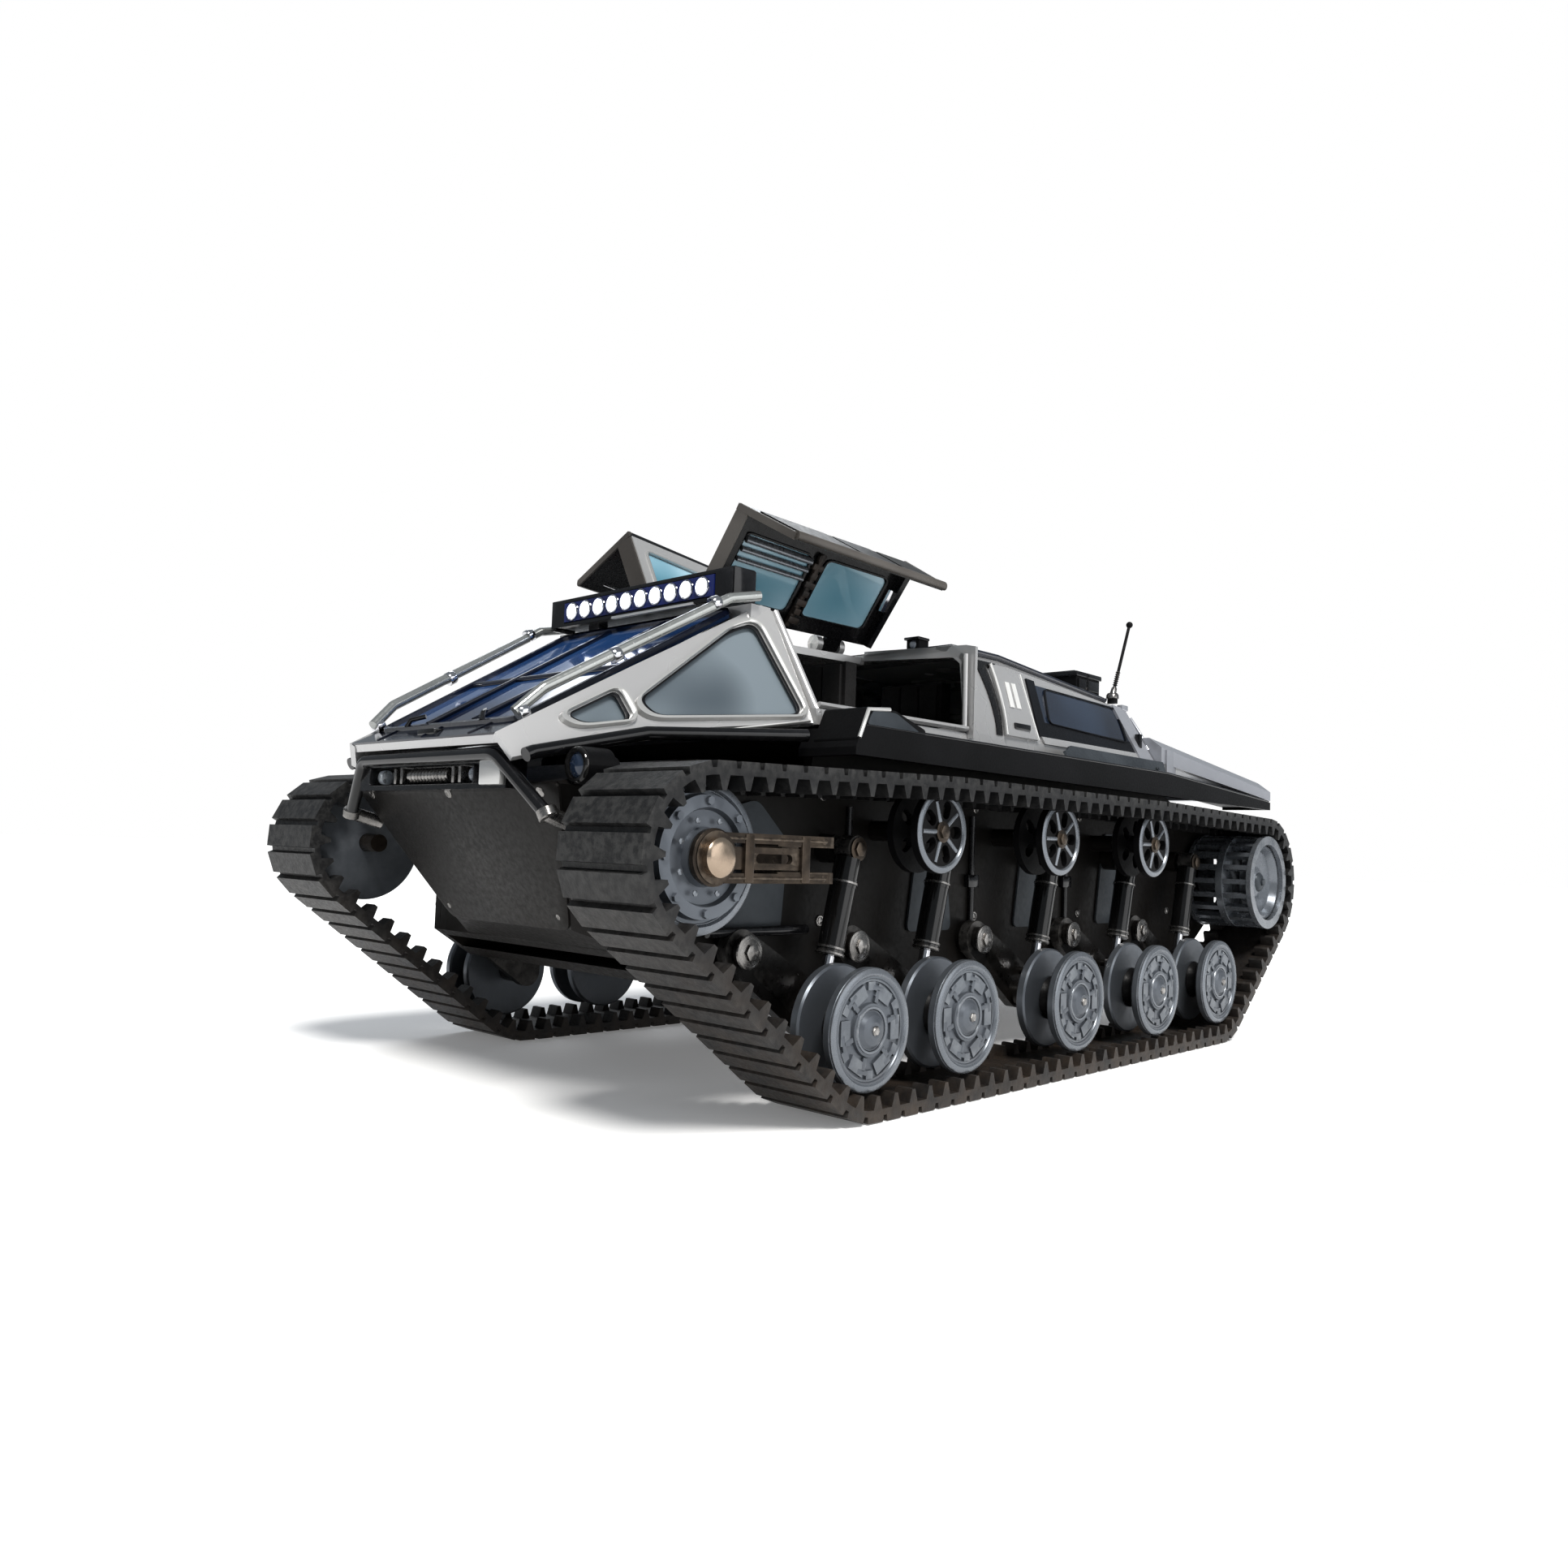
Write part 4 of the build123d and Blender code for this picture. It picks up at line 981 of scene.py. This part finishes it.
def roof_ribs(bm):
    for x in (-24.0, -8.0, 8.0, 24.0):
        bar(bm, [(x, -15.0, 101.91739), (x, 4.0, 103.9), (x, 56.0, 100.86667)], 0.6, flat=0.5)


piece("roof_ribs", "hull", "silver_edge", roof_ribs)


def roof_panel(bm):
    for front, back in (((34.0, 4.6, 103.72, 104.0), (30.0, 60.0, 100.45, 100.75)),
                        ((41.0, -18.6, 101.4, 101.7), (34.4, 3.8, 103.75, 104.05))):
        loft_rings(bm, [
            [(-front[0], front[1], front[k]), (front[0], front[1], front[k]),
             (back[0], back[1], back[k]), (-back[0], back[1], back[k])] for k in (2, 3)
        ])


piece("roof_skin", "hull", "hood", roof_panel)

# roof camera, air box, antenna
piece("camera_lens", "hull", "clear", lambda bm: dome(bm, (22.0, -9.0, 104.9), FORWARD, 1.1, 0.5))
piece("camera_hood", "hull", "black", lambda bm: block(bm, (19.6, -9.8, 106.1), (24.4, -5.0, 106.8), 0.3))


def air_box(bm):
    block(bm, (15.4, 60.4, 105.4), (30.6, 75.6, 107.0), 0.5)
    for k in range(6):
        block(bm, (17.4, 62.4 + 2.1 * k, 106.8), (28.6, 63.2 + 2.1 * k, 107.5), 0.15)
    block(bm, (29.8, 62.0, 101.6), (30.6, 74.0, 104.8), 0.3)


piece("air_box_lid", "hull", "black", air_box)


ANTENNA, WHIP = Vector((35.4, 73.4, 98.2)), Vector((0.05, 0.34, 1.0)).normalized()


def antenna_trim(bm):
    lathe(bm, ANTENNA + Vector((0, 0, 1.4)), UP, ((0.0, 1.9), (1.2, 1.8), (1.7, 1.3)), 20)
    lathe(bm, ANTENNA + Vector((0, 0, 2.4)), WHIP, ((0.0, 1.0), (2.4, 0.8), (3.0, 0.5)), 20)
    for k in range(7):
        lathe(
            bm, ANTENNA + Vector((0, 0, 2.4)) + WHIP * (3.4 + 0.7 * k), WHIP,
            ((0.0, 0.5), (0.15, 0.75), (0.3, 0.5)), 14,
        )


piece("antenna_base", "hull", "steel", antenna_trim)


# ---------------------------------------------------------------- deck, fenders, interior
def deck_trim(bm):
    for sign in (1, -1):
        for t in (0.06, 0.35, 0.64, 0.93):
            y = 77.0 + 57.0 * t
            bolt(bm, (sign * (43.0 + 10.0 * t), y, 87.4 - 10.0 * t + 0.1), (0, 0.17, 1), 0.7, 0.4)


piece("deck_bolts", "hull", "steel", deck_trim)


def deck_ribs(bm):
    for x in (-34.0, -17.0, 0.0, 17.0, 34.0):
        bar(bm, [(x, 80.0, 86.9), (x * 1.12, 130.0, 78.2)], 0.8, flat=0.55)


piece("deck_ribs", "hull", "deck", deck_ribs)
pair("deck_side_plate", "deck", lambda bm: block(bm, (50.2, 78.0, 76.0), (51.0, 84.0, 84.0), 0.3))


def fender_trim(bm):
    bar(bm, [(59.6, -73.0, 75.4), (59.6, 60.0, 75.4), (59.6, 133.0, 71.4)], 0.5, flat=0.7)
    for y in (-40.0, -10.0, 20.0, 50.0, 90.0, 120.0):
        z = 75.3 if y < 60 else 75.2 - (y - 60) * 0.054
        bolt(bm, (56.0, y, z), UP, 0.7, 0.4)


pair("fender_edge", "black", fender_trim)


def fender_plate(bm):
    outline = [
        (53.6, 16.0, 75.3), (51.6, 76.0, 74.9), (50.0, 76.0, 79.9), (50.6, 21.0, 79.9), (51.0, 19.0, 78.6),
        (51.4, 17.0, 78.2),
    ]
    panel(bm, outline, 0.7, 0.0, 0.5)
    for y in (30.0, 50.0, 70.0):
        bolt(bm, (52.0, y, 77.6), (1, 0, 0.4), 0.5, 0.3)
    bar(bm, [(49.0, -70.0, 76.2), (49.4, -20.0, 76.4), (49.0, 16.0, 76.2)], 0.6, flat=0.8)


pair("fender_side_plate", "plate_grey", fender_plate)
MUDGUARD = [(60.0, y, z) for y, z in ((-73.0, 75.6), (-56.0, 75.6), (-64.0, 78.7), (-71.2, 78.7))]
pair("mudguard_face", "plate_grey", lambda bm: panel(bm, MUDGUARD, 0.25, 0.0, 0.8))
pair(
    "mudguard_edge", "silver_edge",
    lambda bm: bar(bm, [(60.1, -75.2, 72.8), (60.1, -72.6, 78.6), (60.1, -66.0, 79.2)], 0.45),
)


def seats(bm):
    for x in (5.0, -25.0):
        for y in (-52.0, -13.0):
            for k in range(3):
                block(bm, (x + 1.0 + 6.2 * k, y + 0.6, 81.8), (x + 6.6 + 6.2 * k, y + 12.6, 83.0), 0.5)
                block(bm, (x + 1.0 + 6.2 * k, y + 12.0, 83.6), (x + 6.6 + 6.2 * k, y + 13.2, 95.4), 0.5)


piece("seat_pads", "hull", "seat", seats)


def dash(bm):
    block(bm, (-23.0, -71.2, 85.6), (23.0, -65.4, 86.8), 0.5)
    lathe(bm, (13.0, -63.6, 84.8), (0, 0.8, 0.6), ((0.0, 4.4), (0.3, 4.6), (0.7, 4.6), (1.0, 4.4)), 32, 3.8)
    bar(bm, [(13.0, -65.2, 82.8), (13.0, -63.4, 84.9)], 0.8)
    for a in (0.5, 2.6, 4.7):
        tip = (13.0 + 4.0 * math.cos(a), -63.4 - 2.4 * math.sin(a), 84.9 + 3.2 * math.sin(a))
        bar(bm, [(13.0, -63.4, 84.9), tip], 0.35)


piece("dash_and_wheel", "hull", "inside", dash)
pair("red_strip", "red", lambda bm: block(bm, (36.9, -50.0, 79.5), (38.2, -36.0, 80.5), 0.2))

# ---------------------------------------------------------------- light bar
LEDS, LED_SPACING, LED_Z = 10, 5.1, 105.7
for k in range(LEDS):
    x = LED_SPACING * (k - (LEDS - 1) / 2)
    piece(f"led_{k}", "hull", "led", lambda bm: dome(bm, (x, -84.3, LED_Z), FORWARD, 1.75, 0.7))
    ring_profile = ((0.0, 2.2), (0.3, 2.15), (0.45, 1.95))
    piece(
        f"led_ring_{k}", "hull", "chrome",
        lambda bm: lathe(bm, (x, -84.25, LED_Z), FORWARD, ring_profile, 28, 1.8),
    )


def bar_fins(bm):
    for k in range(25):
        block(bm, (-29.5 + 2.4 * k, -77.2, 103.2), (-28.6 + 2.4 * k, -76.2, 108.2), 0.1)
    for x in (-31.4, 31.4):
        block(bm, (x - 0.6, -83.6, 101.8), (x + 0.6, -77.4, 109.2), 0.3)


piece("light_bar_fins", "hull", "black", bar_fins)
piece(
    "light_bar_strip", "hull", "silver_edge",
    lambda bm: block(bm, (-8.0, -84.3, 102.2), (20.0, -83.4, 102.8), 0.15),
)

# ---------------------------------------------------------------- doors
swing = Matrix.Rotation(math.radians(-DOOR_OPEN), 4, HINGE_WAY)
open_door = Matrix.Translation(HINGE_POINT) @ swing @ Matrix.Translation(-HINGE_POINT)
for side, sign in SIDES:
    body = f"door_{side}"

    def add(name, finish, draw):
        piece(f"door_{name}_{side}", body, finish, draw, sign, turn=open_door)

    def outer_skin(bm):
        skin(bm, ROOF_PANEL, DOOR_WINDOWS, 0.35, 0.02, 0.0, 1.6)

    add("outer_skin", "silver", outer_skin)

    def trims(bm):
        for window in DOOR_WINDOWS:
            rim(bm, window, 1.6, 1.0, 0.5, 0.3)

    add("window_trim", "silver_edge", trims)

    def panes(bm):
        for window in DOOR_WINDOWS:
            panel(bm, window, 0.2, -0.26, 1.6)
            panel(bm, list(reversed(window)), 0.2, 1.34, 1.6)

    add("window_panes", "teal_glass_painted_reflection", panes)

    def inner_trims(bm):
        for window in DOOR_WINDOWS:
            rim(bm, list(reversed(window)), 1.6, 1.0, 0.6, 1.6)

    add("window_inner_trim", "door_dark", inner_trims)

    def strip(bm):
        a, b, c, d = (Vector(p) for p in SIDE_PANEL)
        top, foot = 0.16, 0.84
        for start, stop in ((0.05, 0.44), (0.47, 0.72), (0.75, 0.96)):
            shares = ((top, start), (foot, start), (foot, stop), (top, stop))
            quad = [(a * (1 - u) + b * u) * (1 - v) + (d * (1 - u) + c * u) * v for u, v in shares]
            panel(bm, quad, 0.25, 1.6, 1.5)

    add("side_inset", "grey_trim", strip)

    def edges(bm):
        a, b, c, d = (Vector(p) + Vector((1.2, 0, 0)) for p in SIDE_PANEL)
        bar(bm, [b, c], 1.1, flat=0.8)
        bar(bm, [a, b], 0.6, flat=0.8)
        bar(bm, [c, d], 0.6, flat=0.8)
        bar(bm, [a + Vector((0, 0, -1.6)), d + Vector((0, 0, -1.6))], 0.4, flat=0.8)
        bar(bm, [a + (b - a) * 0.55, d + (c - d) * 0.5, d + (c - d) * 0.86], 0.35, flat=0.8)

    add("edge_beads", "flange", edges)

    def front_flange(bm):
        a, b = Vector(ROOF_PANEL[0]), Vector(ROOF_PANEL[1])
        drop = Vector((0, 0, -4.6))
        panel(bm, [a + drop, b + drop, b, a], 0.4, 0.05, 0.4)
        c, d = Vector(SIDE_PANEL[1]), Vector((1.6, 0, 0))
        panel(bm, [c, c + d, b + d, b], 0.5, 0.05)

    add("front_flange", "flange", front_flange)

    def louvres(bm):
        a, b, c, d = (Vector(p) for p in DOOR_WINDOWS[0])
        fall = Vector((0, 0, 2.4))
        for t, radius in ((0.6, 0.7), (0.76, 0.8), (0.92, 1.0)):
            bar(bm, [a + (b - a) * t - fall, d + (c - d) * t - fall], radius, flat=0.7)

    add("louvres", "wheel_pale", louvres)

    def strut(bm):
        bar(bm, [(12.0, -46.6, 100.9), (22.0, -46.4, 100.0), (31.0, -46.2, 99.6)], 1.3, flat=0.7)
        for k in range(8):
            block(
                bm, (13.0 + 2.3 * k, -48.2 + 0.6 * (k % 2), 98.8),
                (14.6 + 2.3 * k, -45.0 - 0.6 * (k % 2), 99.8), 0.25,
            )

    add("inner_strut", "brown", strut)

    def lock(bm):
        block(bm, (24.0, -23.0, 97.4), (30.0, -20.8, 99.2), 0.3)
        bar(bm, [(33.0, -66.0, 84.0), (33.2, -60.0, 84.0)], 0.6)

    add("lock", "chrome", lock)

for node_name, width in (
    ("upper_body", 0.35), ("rear_deck", 0.4), ("fenders", 0.35), ("lower_hull", 0.3),
    ("light_bar_housing", 0.4), ("cabin_interior", 0.8), ("door_left", 0.25), ("door_right", 0.25),
    ("roof_fittings", 0.2), ("track_tensioners", 0.25),
):
    soften(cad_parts[node_name], width)

# ---------------------------------------------------------------- floor, light, camera
bm = bmesh.new()
bmesh.ops.create_grid(bm, x_segments=8, y_segments=8, size=6.0)
ground = bpy.data.meshes.new("floor")
bm.to_mesh(ground)
bm.free()
floor_shader = material(
    "floor", (0.93, 0.93, 0.93), (0.915, 0.915, 0.915), roughness=0.8, spread=0.05, grain=60, bump=0.0,
    patch=3.0, specular=0.0,
)
floor_shader.inputs["Emission Color"].default_value = (1.0, 1.0, 1.0, 1.0)
floor_shader.inputs["Emission Strength"].default_value = 0.2
ground.materials.append(M["floor"])
floor = bpy.data.objects.new("floor", ground)
floor.location.z = cad_box[0][2] - 0.0002
bpy.context.scene.collection.objects.link(floor)

bpy.context.scene.view_settings.view_transform = "Standard"
bpy.context.scene.view_settings.gamma = 0.85
world = bpy.data.worlds.new("studio")
bpy.context.scene.world = world
world.use_nodes = True
nodes, links = world.node_tree.nodes, world.node_tree.links
backdrop = nodes["Background"]
backdrop.inputs["Color"].default_value = (1.0, 1.0, 1.0, 1.0)
backdrop.inputs["Strength"].default_value = 1.0
sky = nodes.new("ShaderNodeBackground")
sky.inputs["Color"].default_value = (0.86, 0.93, 1.0, 1.0)
sky.inputs["Strength"].default_value = 0.34
chooser, seen = nodes.new("ShaderNodeMixShader"), nodes.new("ShaderNodeLightPath")
links.new(seen.outputs["Is Camera Ray"], chooser.inputs["Fac"])
links.new(sky.outputs[0], chooser.inputs[1])
links.new(backdrop.outputs[0], chooser.inputs[2])
links.new(chooser.outputs[0], nodes["World Output"].inputs["Surface"])

sun = bpy.data.objects.new("sun", bpy.data.lights.new("sun", "SUN"))
sun.data.energy = 3.4
sun.data.angle = math.radians(16)
sun.data.color = (1.0, 0.98, 0.95)
sun.rotation_euler = Vector((0.62, -0.42, 0.95)).to_track_quat("Z", "Y").to_euler()
bpy.context.scene.collection.objects.link(sun)


def lamp(name, at, aim, size, power, color=(1, 1, 1)):
    data = bpy.data.lights.new(name, "AREA")
    data.shape = "RECTANGLE"
    data.size, data.size_y = size
    data.energy = power
    data.color = color
    made = bpy.data.objects.new(name, data)
    made.location = at
    made.rotation_euler = (Vector(aim) - Vector(at)).to_track_quat("-Z", "Y").to_euler()
    bpy.context.scene.collection.objects.link(made)


lamp("side", (0.95, 0.15, 0.35), (0, 0, 0.05), (0.9, 0.6), 2.8)
lamp("rim", (-0.7, 0.5, 0.8), (0, 0, 0.07), (0.7, 0.5), 2.5, (0.95, 0.97, 1.0))

CAMERA_AT, FOCAL_LENGTH, SENSOR_WIDTH = (0.2054, -0.2495, 0.0502), 26.76, 36
azimuth, elevation, roll = (math.radians(angle) for angle in (43.453, -3.271, 1.997))
level = Vector((math.sin(azimuth), -math.cos(azimuth), 0))
back = level * math.cos(elevation) + Vector((0, 0, math.sin(elevation)))
right = Vector((math.cos(azimuth), math.sin(azimuth), 0))
upward = back.cross(right)
tilted_right = right * math.cos(roll) + upward * math.sin(roll)
tilted_up = upward * math.cos(roll) - right * math.sin(roll)
lens = bpy.data.cameras.new("camera")
lens.lens = FOCAL_LENGTH
lens.sensor_width = SENSOR_WIDTH
lens.clip_start = 0.01
camera = bpy.data.objects.new("camera", lens)
axes = Matrix((tilted_right, tilted_up, back)).transposed().to_4x4()
camera.matrix_world = Matrix.Translation(CAMERA_AT) @ axes
bpy.context.scene.collection.objects.link(camera)
bpy.context.scene.camera = camera
